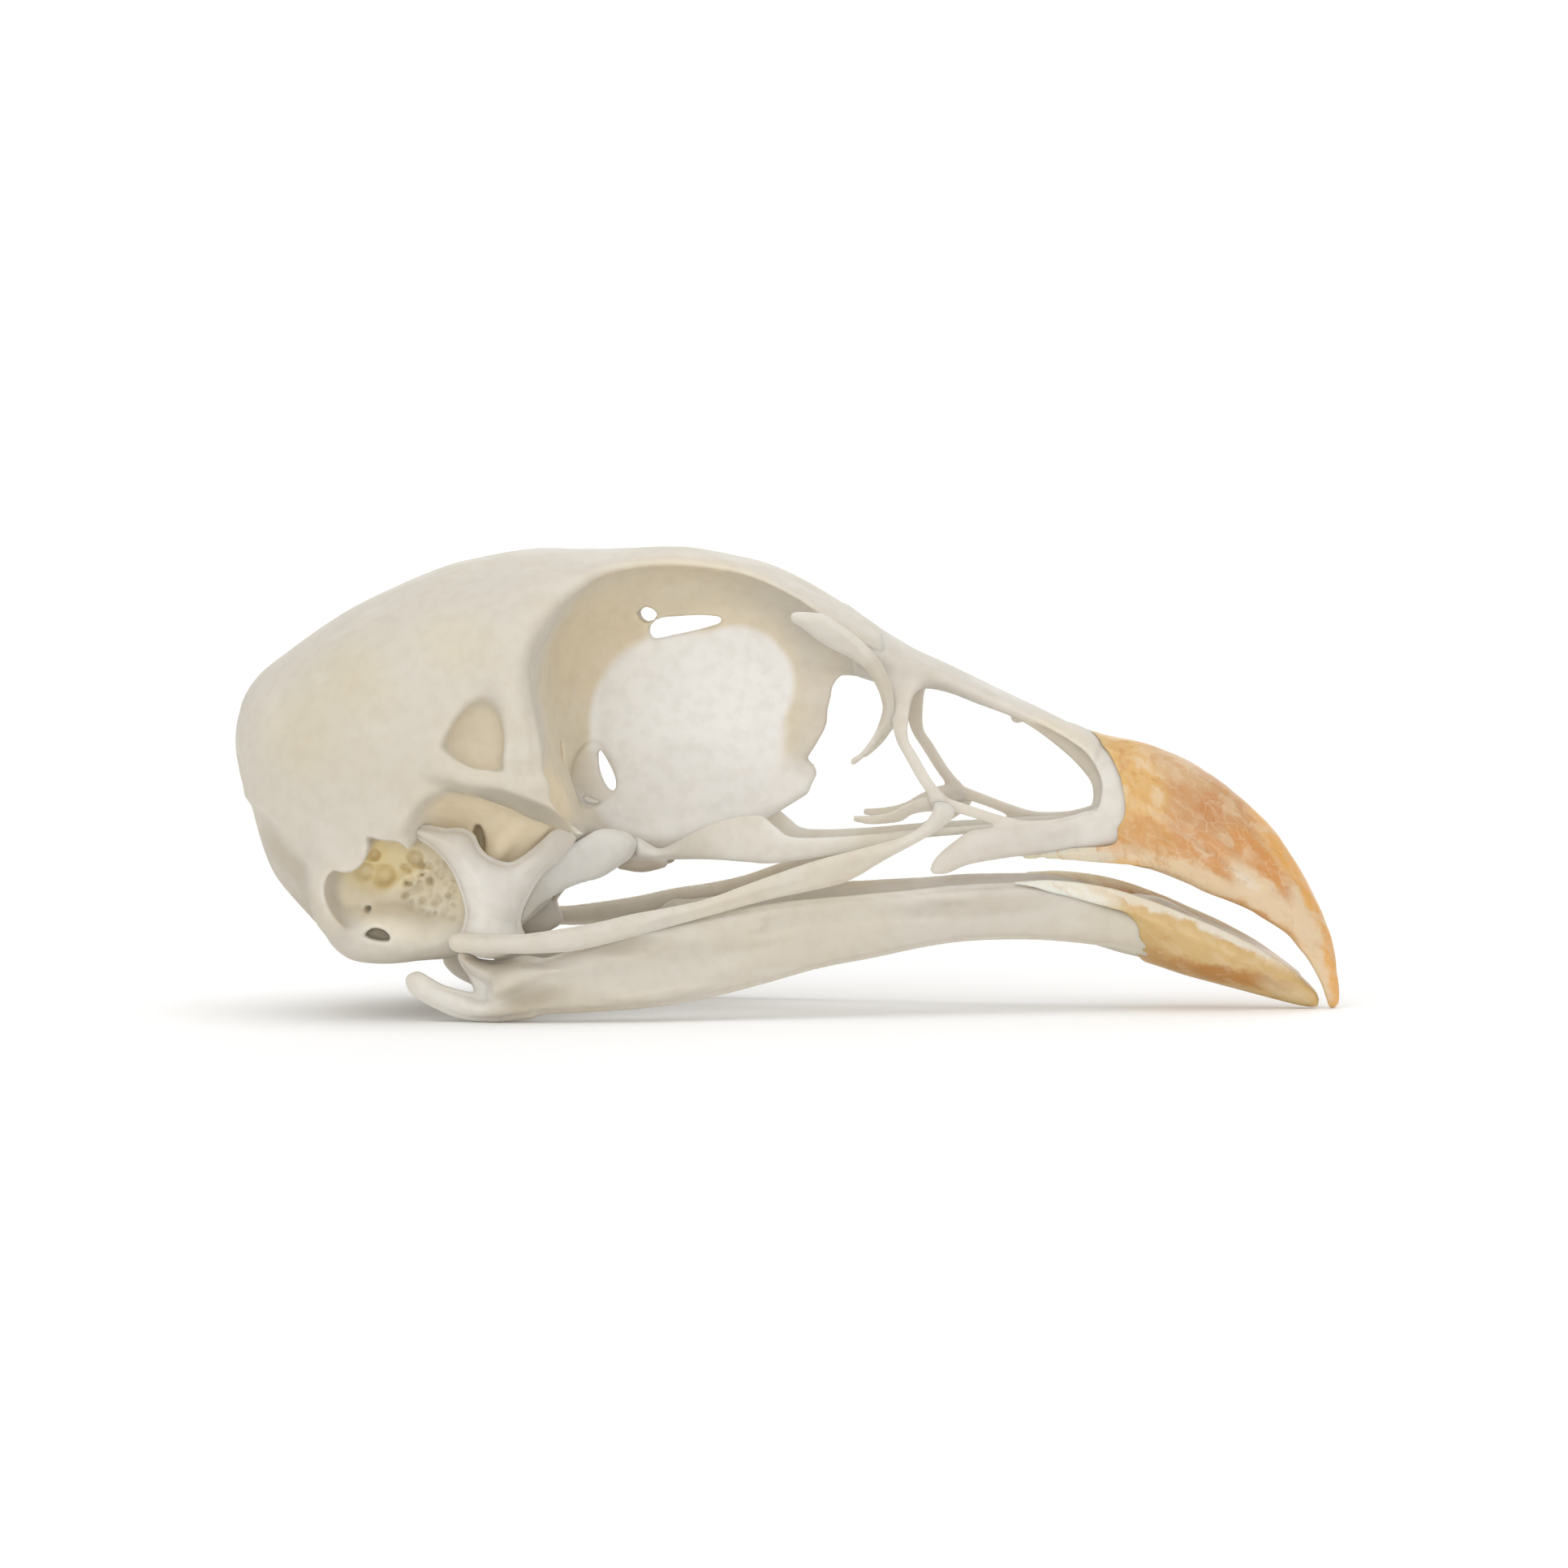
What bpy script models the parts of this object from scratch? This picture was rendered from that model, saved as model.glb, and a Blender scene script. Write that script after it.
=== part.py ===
"""Skull of a chukar partridge, life size, standing on its lower jaw and the tip of its bill.

Sizes are in millimetres, +X towards the tip of the bill, +Y to the bird's left, +Z up.
The finished meshes are scaled to metres and set down with the origin under the middle.
"""
import math

import bmesh
import bpy
import numpy as np
from mathutils import Matrix, Vector

MM = 0.001
GAP = 0.3

# Braincase and forehead: x, top z, base z, half width, height of the widest level as a share
CRANIUM_FORM = [
    (-27.3, 14.35, 12.8, 0.9, 0.5),
    (-27.0, 15.45, 11.05, 3.0, 0.5),
    (-26.45, 16.35, 8.7, 4.6, 0.5),
    (-25.7, 17.1, 6.65, 6.0, 0.49),
    (-24.6, 17.9, 5.2, 7.2, 0.48),
    (-22.8, 19.1, 3.55, 8.6, 0.47),
    (-20.5, 20.45, 2.95, 9.6, 0.46),
    (-17.5, 21.7, 3.05, 10.2, 0.48),
    (-14.8, 22.35, 3.3, 10.4, 0.52),
    (-12.4, 22.75, 4.95, 10.1, 0.6),
    (-10.6, 22.75, 7.1, 8.4, 0.72),
    (-8.6, 22.75, 8.4, 6.2, 0.84),
    (-6.8, 22.75, 11.8, 4.9, 0.86),
    (-5.0, 22.75, 16.35, 4.3, 0.84),
    (-3.0, 22.4, 17.4, 4.0, 0.84),
    (-1.0, 21.9, 17.4, 3.9, 0.84),
    (1.1, 20.9, 16.85, 4.0, 0.82),
    (2.8, 19.85, 16.5, 3.6, 0.78),
    (4.4, 18.85, 16.05, 2.9, 0.7),
]
ORBIT_CENTRE = (-4.35, 14.5)
ORBIT_RIM = [9.6, 8.2, 7.65, 7.6, 8.35, 8.65, 7.2, 7.3, 8.2, 8.5, 9.5, 10.5]
ORBIT_WALL = [4.4, 5.1, 5.4, 4.5, 4.35, 5.05, 5.3, 5.9, 6.0, 4.9, 4.6, 4.4]
ORBIT_RIM_Y = 4.3
SEPTUM_THICK = 0.6
SEPTUM_OUTLINE = [(-11.5, 20.3), (-2.1, 20.5), (2.5, 18.3), (3.45, 16.7), (2.3, 16.3), (1.8, 14.8),
                  (1.5, 13.6), (0.6, 12.2), (1.3, 11.5), (0.9, 10.85), (-1.0, 10.1), (-1.7, 9.4),
                  (-5.5, 8.35), (-11.5, 7.5)]
ROOF_SLOT = (-5.1, 18.9, 3.5, 0.9)
ROOF_PORE = (-6.95, 19.55, 0.75, 0.7)
OPTIC_HOLE = (-9.55, 11.9, 1.7, 2.8)
ROSTRUM_LINE = [(-11.45, 7.65), (-5.95, 8.45), (-1.7, 9.65), (0.6, 10.75)]
ROSTRUM_RADIUS = (1.2, 0.75, 0.55, 0.4)

TYMPANIC_HOLLOW = ((-17.9, 10.6, 6.3), (4.0, 5.2, 3.3))
ADDUCTOR_HOLLOW = ((-12.6, 11.6, 7.05), (5.8, 5.4, 5.0))
OTIC_SOCKET = ((-16.5, 9.8, 9.2), (2.6, 3.0, 1.6))
TEMPORAL_FOSSA = ((-14.25, 10.9, 14.0), (1.75, 2.0, 2.3))
FORAMEN_MAGNUM = ((-24.9, 0.0, 5.55), (1.7, 2.2, 3.2))
CONDYLE = ((-22.95, 0.0, 3.85), 0.8)
EAR_FLAP = ((-21.6, 7.3, 6.8), (1.4, 2.1, 2.7))

# Side blade of the temple: upper edge x, z, lower edge x, z, half thickness, distance from middle
ZYGOMATIC = [
    (-17.2, 12.65, -16.2, 11.3, 0.5, 9.4),
    (-14.7, 12.35, -14.4, 11.15, 0.45, 9.9),
    (-12.8, 12.35, -12.9, 10.65, 0.4, 10.1),
    (-10.9, 11.75, -11.3, 9.95, 0.35, 10.0),
    (-9.6, 10.25, -9.95, 9.5, 0.3, 9.6),
    (-8.75, 9.25, -8.95, 9.1, 0.22, 9.4),
]
# Strut behind the eye: front edge x, z, rear edge x, z, half thickness, distance from middle
POSTORBITAL = [
    (-11.95, 18.05, -14.25, 17.6, 0.9, 9.0),
    (-11.7, 16.45, -13.5, 16.45, 0.75, 9.8),
    (-11.55, 14.95, -12.85, 14.95, 0.6, 10.2),
    (-11.1, 13.5, -12.7, 13.25, 0.5, 10.3),
    (-10.8, 12.3, -12.6, 11.85, 0.45, 10.3),
    (-10.8, 11.25, -12.0, 10.95, 0.4, 10.2),
]

# Upper jaw: bridge over the nostrils, then the solid bill core
BRIDGE = [
    (4.7, 18.4, 4.65, 16.1, 2.8),
    (6.2, 17.6, 6.1, 15.8, 2.6),
    (8.05, 16.75, 7.8, 15.55, 2.1),
    (10.3, 15.65, 9.85, 14.65, 1.8),
    (12.35, 14.65, 11.95, 13.6, 1.7),
    (13.95, 13.8, 13.4, 12.65, 1.9),
    (15.15, 13.0, 15.45, 8.95, 2.4),
]
BILL_CORE = [
    (13.75, 13.55, 14.65, 8.15, 2.5),
    (15.95, 12.9, 16.45, 8.1, 2.8),
    (18.6, 11.6, 18.25, 7.6, 2.3),
    (21.0, 10.1, 20.4, 6.65, 1.7),
    (22.95, 8.2, 22.2, 6.0, 1.0),
]
NOSTRIL = [(13.5, 12.9), (14.5, 11.7), (15.1, 10.65), (15.2, 10.0), (14.6, 9.75), (13.4, 9.9), (11.6, 10.25),
           (9.4, 10.7), (8.3, 10.9), (7.5, 12.1), (6.95, 13.7), (6.85, 15.0), (7.15, 15.8), (8.4, 15.45),
           (9.95, 14.85), (11.4, 14.2)]
NASAL_BAR = [
    (5.6, 1.9, 16.95, 0.75),
    (5.95, 3.1, 15.0, 0.5),
    (6.25, 3.7, 13.6, 0.42),
    (6.8, 4.2, 12.25, 0.36),
    (7.5, 4.5, 10.95, 0.36),
    (8.2, 4.5, 10.5, 0.45),
]
LOWER_BORDER = [
    (7.9, 4.5, 10.5, 0.42),
    (9.6, 4.0, 10.35, 0.32),
    (11.6, 3.3, 9.85, 0.32),
    (13.25, 2.8, 9.4, 0.4),
    (15.05, 2.2, 9.0, 0.6),
]
MAXILLA_SPIKE = [
    (7.5, 7.55, 7.4, 7.15, 0.22, 4.5),
    (8.55, 8.35, 8.6, 7.2, 0.3, 4.3),
    (10.25, 9.15, 10.45, 7.55, 0.36, 3.8),
    (13.05, 9.45, 13.25, 7.85, 0.45, 3.0),
    (15.6, 9.8, 15.85, 7.95, 0.8, 2.0),
]
MAXILLO_PALATINE = [
    (8.0, 4.4, 10.45, 0.34),
    (6.6, 3.8, 10.0, 0.34),
    (5.25, 3.1, 9.65, 0.28),
    (3.45, 2.5, 9.5, 0.26),
]

UPPER_SHEATH = [
    (14.15, 13.7, 13.65, 7.5, 3.15),
    (15.85, 13.7, 15.45, 7.4, 3.2),
    (17.75, 12.95, 17.3, 7.1, 3.0),
    (19.9, 11.85, 19.05, 6.55, 2.75),
    (22.0, 10.45, 20.9, 5.6, 2.4),
    (23.85, 8.8, 22.9, 4.75, 1.95),
    (25.1, 7.0, 24.5, 3.8, 1.45),
    (26.1, 5.1, 25.55, 2.7, 1.0),
    (26.8, 3.05, 26.1, 1.6, 0.62),
    (27.05, 1.0, 26.4, 0.55, 0.4),
    (26.95, 0.15, 26.6, 0.0, 0.25),
]
SHEATH_REAR = (12.5, 10.2, 4.2)

# Lower jaw, one side: upper edge x, z, lower edge x, z, half thickness, distance from middle
RAMUS = [
    (-13.4, 2.6, -14.6, 0.0, 0.85, 7.7),
    (-12.2, 3.1, -12.6, 0.3, 0.75, 7.9),
    (-9.6, 3.7, -9.4, 0.45, 0.62, 8.0),
    (-7.0, 4.75, -6.8, 0.6, 0.60, 7.8),
    (-4.4, 5.1, -4.2, 0.95, 0.60, 7.2),
    (-0.8, 5.6, -0.6, 1.7, 0.62, 6.3),
    (3.4, 5.95, 3.6, 2.65, 0.66, 5.1),
    (7.4, 6.25, 7.4, 3.25, 0.68, 4.0),
    (11.2, 6.4, 11.2, 3.5, 0.72, 3.0),
    (14.4, 6.0, 14.2, 3.3, 0.80, 2.05),
    (16.6, 5.3, 16.4, 2.95, 0.90, 1.2),
    (17.8, 4.9, 17.6, 2.8, 0.90, 0.8),
]
LOWER_CORE = [
    (14.4, 5.2, 14.4, 3.4, 1.9),
    (16.6, 5.2, 16.6, 2.95, 2.0),
    (19.0, 4.5, 18.8, 2.45, 1.6),
    (21.6, 3.3, 21.4, 1.85, 1.1),
    (23.4, 2.3, 23.2, 1.4, 0.6),
]
RETROARTICULAR = [
    (-13.55, 7.6, 1.0, 1.05),
    (-15.15, 7.6, 0.8, 0.78),
    (-16.55, 7.5, 1.1, 0.62),
    (-17.75, 7.3, 1.65, 0.5),
    (-18.4, 7.1, 2.05, 0.34),
]
ARTICULAR = [
    (-15.9, 3.2, -15.7, 2.8, 0.9, 7.2),
    (-15.2, 3.25, -14.9, 1.8, 1.5, 7.2),
    (-14.3, 3.2, -14.0, 0.9, 1.8, 7.3),
    (-13.0, 3.15, -12.8, 0.45, 1.5, 7.5),
    (-11.6, 3.1, -11.6, 0.6, 0.9, 7.8),
]
MEDIAL_PROCESS = [
    (-14.15, 6.8, 1.9, 0.9),
    (-15.0, 5.2, 2.35, 0.6),
    (-15.65, 4.1, 2.9, 0.38),
]

LOWER_SHEATH = [
    (16.2, 5.95, 16.6, 2.75, 2.75),
    (17.8, 5.55, 17.4, 2.35, 2.65),
    (19.6, 4.75, 19.2, 1.75, 2.35),
    (21.6, 3.85, 21.0, 1.25, 1.95),
    (23.4, 2.9, 22.9, 0.7, 1.45),
    (24.9, 1.75, 24.5, 0.25, 0.90),
    (26.0, 0.6, 25.8, 0.05, 0.35),
]
LOWER_TROUGH = ((18.25, 0.0, 6.3), (5.4, 1.35, 2.1), 27.0)

QUADRATE_OTIC = [
    (-17.4, 8.4, 8.9, 0.95),
    (-16.3, 8.2, 8.3, 0.9),
    (-14.4, 7.9, 6.9, 1.25),
]
QUADRATE_OTIC_FRONT = [
    (-15.1, 8.2, 9.2, 0.75),
    (-14.7, 8.0, 8.0, 0.95),
    (-14.1, 7.9, 6.6, 1.15),
]
QUADRATE_ORBITAL = [
    (-13.6, 7.6, 6.4, 1.1),
    (-12.4, 6.9, 7.25, 0.8),
    (-11.15, 6.2, 8.3, 0.55),
    (-10.05, 5.6, 9.1, 0.32),
]
QUADRATE_BODY = ((-13.85, 7.8, 5.6), (1.55, 1.35, 1.7))
QUADRATE_FOOT = ((-13.85, 7.6, 4.3), (1.65, 1.75, 0.85))

PTERYGOID = [
    (-12.3, 6.7, -12.5, 5.1, 0.50, 6.5),
    (-11.4, 7.4, -11.6, 5.9, 0.42, 5.6),
    (-10.4, 7.8, -10.2, 6.6, 0.42, 4.4),
    (-9.4, 8.2, -9.1, 6.9, 0.48, 3.2),
    (-8.5, 8.8, -8.1, 7.0, 0.58, 2.2),
    (-7.5, 8.9, -7.1, 7.1, 0.55, 1.6),
]
# Palatine: upper edge x, z, lower edge x, z, half thickness, distance from middle
PALATINE = [
    (-7.45, 8.85, -7.35, 7.65, 0.45, 1.45),
    (-5.85, 8.35, -5.8, 7.5, 0.4, 1.9),
    (-4.35, 9.1, -4.3, 7.5, 0.34, 2.4),
    (-2.7, 9.7, -2.7, 7.4, 0.32, 2.9),
    (-1.2, 9.65, -1.2, 7.35, 0.32, 3.1),
    (0.05, 8.8, 0.0, 7.45, 0.34, 3.2),
    (2.05, 8.7, 2.05, 7.8, 0.36, 3.1),
    (4.65, 8.9, 4.65, 8.15, 0.34, 2.8),
    (7.65, 9.1, 7.65, 8.55, 0.3, 2.5),
    (10.65, 9.25, 10.65, 8.75, 0.28, 2.2),
    (13.45, 9.35, 13.45, 8.75, 0.28, 1.9),
]
JUGAL = [
    (-16.05, 4.3, -16.05, 3.55, 0.36, 9.3),
    (-15.35, 4.45, -15.35, 3.45, 0.42, 9.35),
    (-12.45, 4.4, -12.35, 3.45, 0.38, 9.3),
    (-9.95, 4.55, -9.8, 3.45, 0.36, 9.0),
    (-6.95, 5.3, -6.75, 4.2, 0.34, 8.4),
    (-3.55, 5.95, -3.35, 5.1, 0.32, 7.5),
    (-0.4, 7.05, 0.05, 5.85, 0.32, 6.5),
    (2.65, 7.95, 3.0, 6.65, 0.32, 5.8),
    (5.05, 8.6, 5.65, 7.8, 0.32, 5.2),
    (6.85, 9.25, 7.35, 8.7, 0.32, 4.8),
    (7.7, 10.1, 8.35, 9.7, 0.3, 4.6),
]
LACRIMAL = [
    (0.75, 19.65, 0.9, 19.35, 0.28, 5.0),
    (2.25, 19.8, 1.9, 18.75, 0.42, 5.0),
    (3.7, 18.9, 2.9, 17.9, 0.42, 4.9),
    (4.8, 17.8, 3.9, 17.25, 0.38, 4.7),
    (5.45, 16.45, 4.75, 16.25, 0.34, 4.5),
    (5.7, 15.05, 5.1, 15.15, 0.3, 4.4),
    (5.5, 13.95, 5.0, 14.25, 0.28, 4.3),
    (4.65, 13.0, 4.3, 13.4, 0.26, 4.2),
    (3.6, 12.15, 3.45, 12.55, 0.22, 4.1),
]

BONE = (0.80, 0.75, 0.66, 1.0)
HORN_UPPER = (0.80, 0.42, 0.14, 1.0)
HORN_LOWER = (0.76, 0.56, 0.28, 1.0)

for old in list(bpy.data.objects):
    bpy.data.objects.remove(old, do_unlink=True)

parts = bpy.data.collections.new("chukar_skull")
cutters = bpy.data.collections.new("cutters")
bpy.context.scene.collection.children.link(parts)
bpy.context.scene.collection.children.link(cutters)


def flow(rows, steps):
    """Rows of numbers joined smoothly, each row kept and steps - 1 new ones between two."""
    rows = np.array(rows, float)
    first = 2 * rows[0] - rows[1]
    last = 2 * rows[-1] - rows[-2]
    track = np.vstack([first, rows, last])
    out = []
    for i in range(1, len(track) - 2):
        a, b, c, d = track[i - 1:i + 3]
        for t in np.arange(steps) / steps:
            out.append(0.5 * (2 * b + (c - a) * t + (2 * a - 5 * b + 4 * c - d) * t * t
                              + (3 * b - a - 3 * c + d) * t ** 3))
    out.append(rows[-1])
    return np.array(out)


def mesh_object(name, bm, home=parts):
    """An object that holds the bmesh, its faces pointing out."""
    bmesh.ops.recalc_face_normals(bm, faces=bm.faces)
    mesh = bpy.data.meshes.new(name)
    bm.to_mesh(mesh)
    bm.free()
    obj = bpy.data.objects.new(name, mesh)
    home.objects.link(obj)
    return obj


def section(top_x, top_z, low_x, low_z, half, y=0.0, belly=0.5, power=2.0, low_power=2.0, count=20):
    """A rounded ring across the plane of symmetry, or beside it, between two edge points."""
    points = []
    for i in range(count):
        turn = 2 * math.pi * i / count
        c, s = math.cos(turn), math.sin(turn)
        p = power if s >= 0 else low_power
        side = math.copysign(abs(c) ** (2 / p), c)
        rise = math.copysign(abs(s) ** (2 / p), s)
        share = belly + rise * (1 - belly if s >= 0 else belly)
        points.append((low_x + (top_x - low_x) * share, y + half * side, low_z + (top_z - low_z) * share))
    return points


def loft(name, rings, home=parts):
    """A closed skin over rings of equal count, with a flat face at each end."""
    bm = bmesh.new()
    loops = [[bm.verts.new(p) for p in ring] for ring in rings]
    for a, b in zip(loops, loops[1:]):
        for i in range(len(a)):
            bm.faces.new((a[i - 1], a[i], b[i], b[i - 1]))
    bm.faces.new(loops[0])
    bm.faces.new(loops[-1])
    return mesh_object(name, bm, home)


def blade(name, rows, steps=2, count=12, side=-1, power=2.4):
    """A flattened bar between an upper and a lower edge, on one side of the skull."""
    rings = [section(a, b, c, d, w, side * y, 0.5, power, power, count) for a, b, c, d, w, y in flow(rows, steps)]
    return loft(name, rings)


def rod(name, rows, steps=2, side=-1, resolution=2):
    """A round bar along x, distance from middle, z, with its own radius at each row."""
    rows = flow(rows, steps)
    curve = bpy.data.curves.new(name, "CURVE")
    curve.dimensions = "3D"
    curve.bevel_depth = 1.0
    curve.bevel_resolution = resolution
    curve.use_fill_caps = True
    spline = curve.splines.new("POLY")
    spline.points.add(len(rows) - 1)
    for point, (x, y, z, radius) in zip(spline.points, rows):
        point.co = (x, side * y, z, 1.0)
        point.radius = radius
    obj = bpy.data.objects.new(name, curve)
    parts.objects.link(obj)
    return as_mesh(obj)


def as_mesh(obj):
    """The object's evaluated shape as a plain welded mesh, in place of the object."""
    bpy.context.view_layer.update()
    graph = bpy.context.evaluated_depsgraph_get()
    mesh = bpy.data.meshes.new_from_object(obj.evaluated_get(graph), depsgraph=graph)
    bm = bmesh.new()
    bm.from_mesh(mesh)
    bmesh.ops.transform(bm, matrix=obj.matrix_world, verts=bm.verts)
    bmesh.ops.remove_doubles(bm, verts=bm.verts, dist=0.0001)
    name = obj.name
    bpy.data.objects.remove(obj, do_unlink=True)
    return mesh_object(name, bm)


def ball(name, centre, radii, side=1, turn=0.0, segments=20, rings=12):
    """An ellipsoid, turned about Y by so many degrees."""
    bm = bmesh.new()
    bmesh.ops.create_uvsphere(bm, u_segments=segments, v_segments=rings, radius=1.0)
    place = (Matrix.Translation((centre[0], side * centre[1], centre[2]))
             @ Matrix.Rotation(math.radians(turn), 4, "Y") @ Matrix.Diagonal((*radii, 1.0)))
    bmesh.ops.transform(bm, matrix=place, verts=bm.verts)
    return mesh_object(name, bm)


def plate(name, outline, half, y=0.0):
    """A flat slab with this outline in X and Z, half as thick on each side of Y."""
    curve = bpy.data.curves.new(name, "CURVE")
    curve.dimensions = "2D"
    curve.fill_mode = "BOTH"
    curve.extrude = half
    spline = curve.splines.new("POLY")
    spline.points.add(len(outline) - 1)
    for point, (x, z) in zip(spline.points, outline):
        point.co = (x, z, 0.0, 1.0)
    spline.use_cyclic_u = True
    obj = bpy.data.objects.new(name, curve)
    parts.objects.link(obj)
    obj.matrix_world = Matrix.Translation((0.0, y, 0.0)) @ Matrix.Rotation(math.radians(90), 4, "X")
    return as_mesh(obj)


def oval(centre_x, centre_z, wide, high, count=16):
    """Points around an upright oval."""
    turns = [2 * math.pi * i / count for i in range(count)]
    return [(centre_x + wide / 2 * math.cos(t), centre_z + high / 2 * math.sin(t)) for t in turns]


def largest(obj):
    """Only the largest closed surface of the mesh stays."""
    bm = bmesh.new()
    bm.from_mesh(obj.data)
    left = set(bm.verts)
    islands = []
    while left:
        stack = [left.pop()]
        island = list(stack)
        while stack:
            for edge in stack.pop().link_edges:
                for vert in edge.verts:
                    if vert in left:
                        left.remove(vert)
                        island.append(vert)
                        stack.append(vert)
        islands.append(island)
    islands.sort(key=lambda verts: -box_size(verts))
    for island in islands[1:]:
        bmesh.ops.delete(bm, geom=island, context="VERTS")
    bm.to_mesh(obj.data)
    bm.free()
    return obj


def box_size(verts):
    """The diagonal of the box around some vertices."""
    co = np.array([v.co[:] for v in verts])
    return float(np.linalg.norm(co.max(0) - co.min(0)))


def modified(obj):
    """The mesh as its modifiers leave it."""
    name = obj.name
    result = as_mesh(obj)
    result.name = name
    return result


def fuse(base, pieces):
    """One solid from several closed ones that run into each other."""
    group = bpy.data.collections.new(base.name + "_pieces")
    bpy.context.scene.collection.children.link(group)
    for piece in pieces:
        parts.objects.unlink(piece)
        group.objects.link(piece)
    join = base.modifiers.new("join", "BOOLEAN")
    join.operation = "UNION"
    join.operand_type = "COLLECTION"
    join.collection = group
    result = modified(base)
    for piece in list(group.objects):
        bpy.data.objects.remove(piece, do_unlink=True)
    bpy.data.collections.remove(group)
    return largest(result)


def cut(base, tools):
    """The solid without the cutters' space."""
    for tool in tools:
        take = base.modifiers.new("take", "BOOLEAN")
        take.operation = "DIFFERENCE"
        take.object = tool
    result = modified(base)
    for tool in tools:
        bpy.data.objects.remove(tool, do_unlink=True)
    return largest(result)


def melt(name, pieces, voxel, passes, triangles):
    """Overlapping shapes run together into one soft form."""
    bm = bmesh.new()
    for piece in pieces:
        bm.from_mesh(piece.data)
        bpy.data.objects.remove(piece, do_unlink=True)
    obj = mesh_object(name, bm)
    grid = obj.modifiers.new("grid", "REMESH")
    grid.mode = "VOXEL"
    grid.voxel_size = voxel
    soft = obj.modifiers.new("soft", "SMOOTH")
    soft.iterations = passes
    soft.factor = 0.5
    obj = largest(modified(obj))
    faces = sum(len(face.vertices) - 2 for face in obj.data.polygons)
    thin = obj.modifiers.new("thin", "DECIMATE")
    thin.ratio = min(1.0, triangles / faces)
    return largest(modified(obj))


def swollen(obj, amount, voxel, triangles):
    """A copy that stands out from the surface by this much, used to keep a joint's gap."""
    bm = bmesh.new()
    bm.from_mesh(obj.data)
    bm.normal_update()
    moves = [(v, v.normal * amount) for v in bm.verts]
    for vert, move in moves:
        vert.co += move
    copy = mesh_object(obj.name + "_space", bm)
    grid = copy.modifiers.new("grid", "REMESH")
    grid.mode = "VOXEL"
    grid.voxel_size = voxel
    copy = modified(copy)
    faces = sum(len(face.vertices) - 2 for face in copy.data.polygons)
    thin = copy.modifiers.new("thin", "DECIMATE")
    thin.ratio = min(1.0, triangles / faces)
    return modified(copy)


def clear_of(base, others, gap=GAP, voxel=0.22, triangles=1600):
    """The solid, cut back so that it keeps the joint gap to its neighbours."""
    return cut(base, [swollen(other, gap, voxel, triangles) for other in others])


def mirrored(obj, name):
    """The same bone on the bird's left."""
    bm = bmesh.new()
    bm.from_mesh(obj.data)
    bmesh.ops.transform(bm, matrix=Matrix.Diagonal((1.0, -1.0, 1.0, 1.0)), verts=bm.verts)
    bmesh.ops.reverse_faces(bm, faces=bm.faces)
    return mesh_object(name, bm)


def orbit_cutter(side):
    """The eye socket's space: a small wall outline at the middle, opening to the rim."""
    angles = np.radians(np.arange(36) * 10)
    keys = np.radians(np.arange(13) * 30)
    wall = np.interp(angles, keys, ORBIT_WALL + ORBIT_WALL[:1])
    rim = np.interp(angles, keys, ORBIT_RIM + ORBIT_RIM[:1])
    wall = (np.roll(wall, 1) + 2 * wall + np.roll(wall, -1)) / 4
    rim = (np.roll(rim, 1) + 2 * rim + np.roll(rim, -1)) / 4
    rings = []
    inner = SEPTUM_THICK / 2 - 0.1
    for share in (0.0, 0.08, 0.2, 0.4, 0.65, 1.0):
        y = inner + (ORBIT_RIM_Y - inner) * share
        opened = math.sqrt(1 - (1 - share) ** 2)
        radius = wall + (rim - wall) * opened
        rings.append([(ORBIT_CENTRE[0] + r * math.cos(a), side * y, ORBIT_CENTRE[1] + r * math.sin(a))
                      for r, a in zip(radius, angles)])
    rings.append([(x, side * 14.0, z) for x, y, z in rings[-1]])
    return loft("orbit", rings)


def cranium():
    """Braincase, forehead, temple blades, wall between the eyes and its keel."""
    rings = []
    for x, top, low, half, belly in flow(CRANIUM_FORM, 3):
        sharp = 2.2 + 1.0 * max(0.0, 1 - abs(x + 18) / 6) - 1.0 * min(1.0, max(0.0, (x + 10) / 3))
        rings.append(section(x, top, x, low, half, 0.0, belly, 2.2, sharp, 32))
    pieces = [loft("vault", rings), ball("condyle", CONDYLE[0], (CONDYLE[1],) * 3)]
    for side in (-1, 1):
        pieces.append(ball("ear_flap", *EAR_FLAP, side))
    body = melt("cranium", pieces, 0.32, 2, 2200)
    tools = [ball("foramen", *FORAMEN_MAGNUM, 1, 45.0)]
    for side in (-1, 1):
        tools.append(orbit_cutter(side))
        tools.append(ball("tympanic", *TYMPANIC_HOLLOW, side))
        tools.append(ball("socket", *OTIC_SOCKET, side, 0.0, 16, 10))
        tools.append(ball("adductor", *ADDUCTOR_HOLLOW, side))
        tools.append(ball("fossa", *TEMPORAL_FOSSA, side, 0.0, 16, 10))
    body = cut(body, tools)
    keel = [(x, 0.0, z, r) for (x, z), r in zip(ROSTRUM_LINE, ROSTRUM_RADIUS)]
    pieces = [plate("septum", SEPTUM_OUTLINE, SEPTUM_THICK / 2), rod("keel", keel, 2, 1)]
    for side in (-1, 1):
        pieces.append(blade("zygomatic", ZYGOMATIC, 2, 10, side))
        pieces.append(blade("postorbital", POSTORBITAL, 2, 10, side))
    body = fuse(body, pieces)
    holes = [plate("slot", oval(*ROOF_SLOT), 6.0), plate("pore", oval(*ROOF_PORE, 8), 6.0),
             plate("optic", oval(*OPTIC_HOLE), 1.4)]
    return cut(body, holes)


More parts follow.
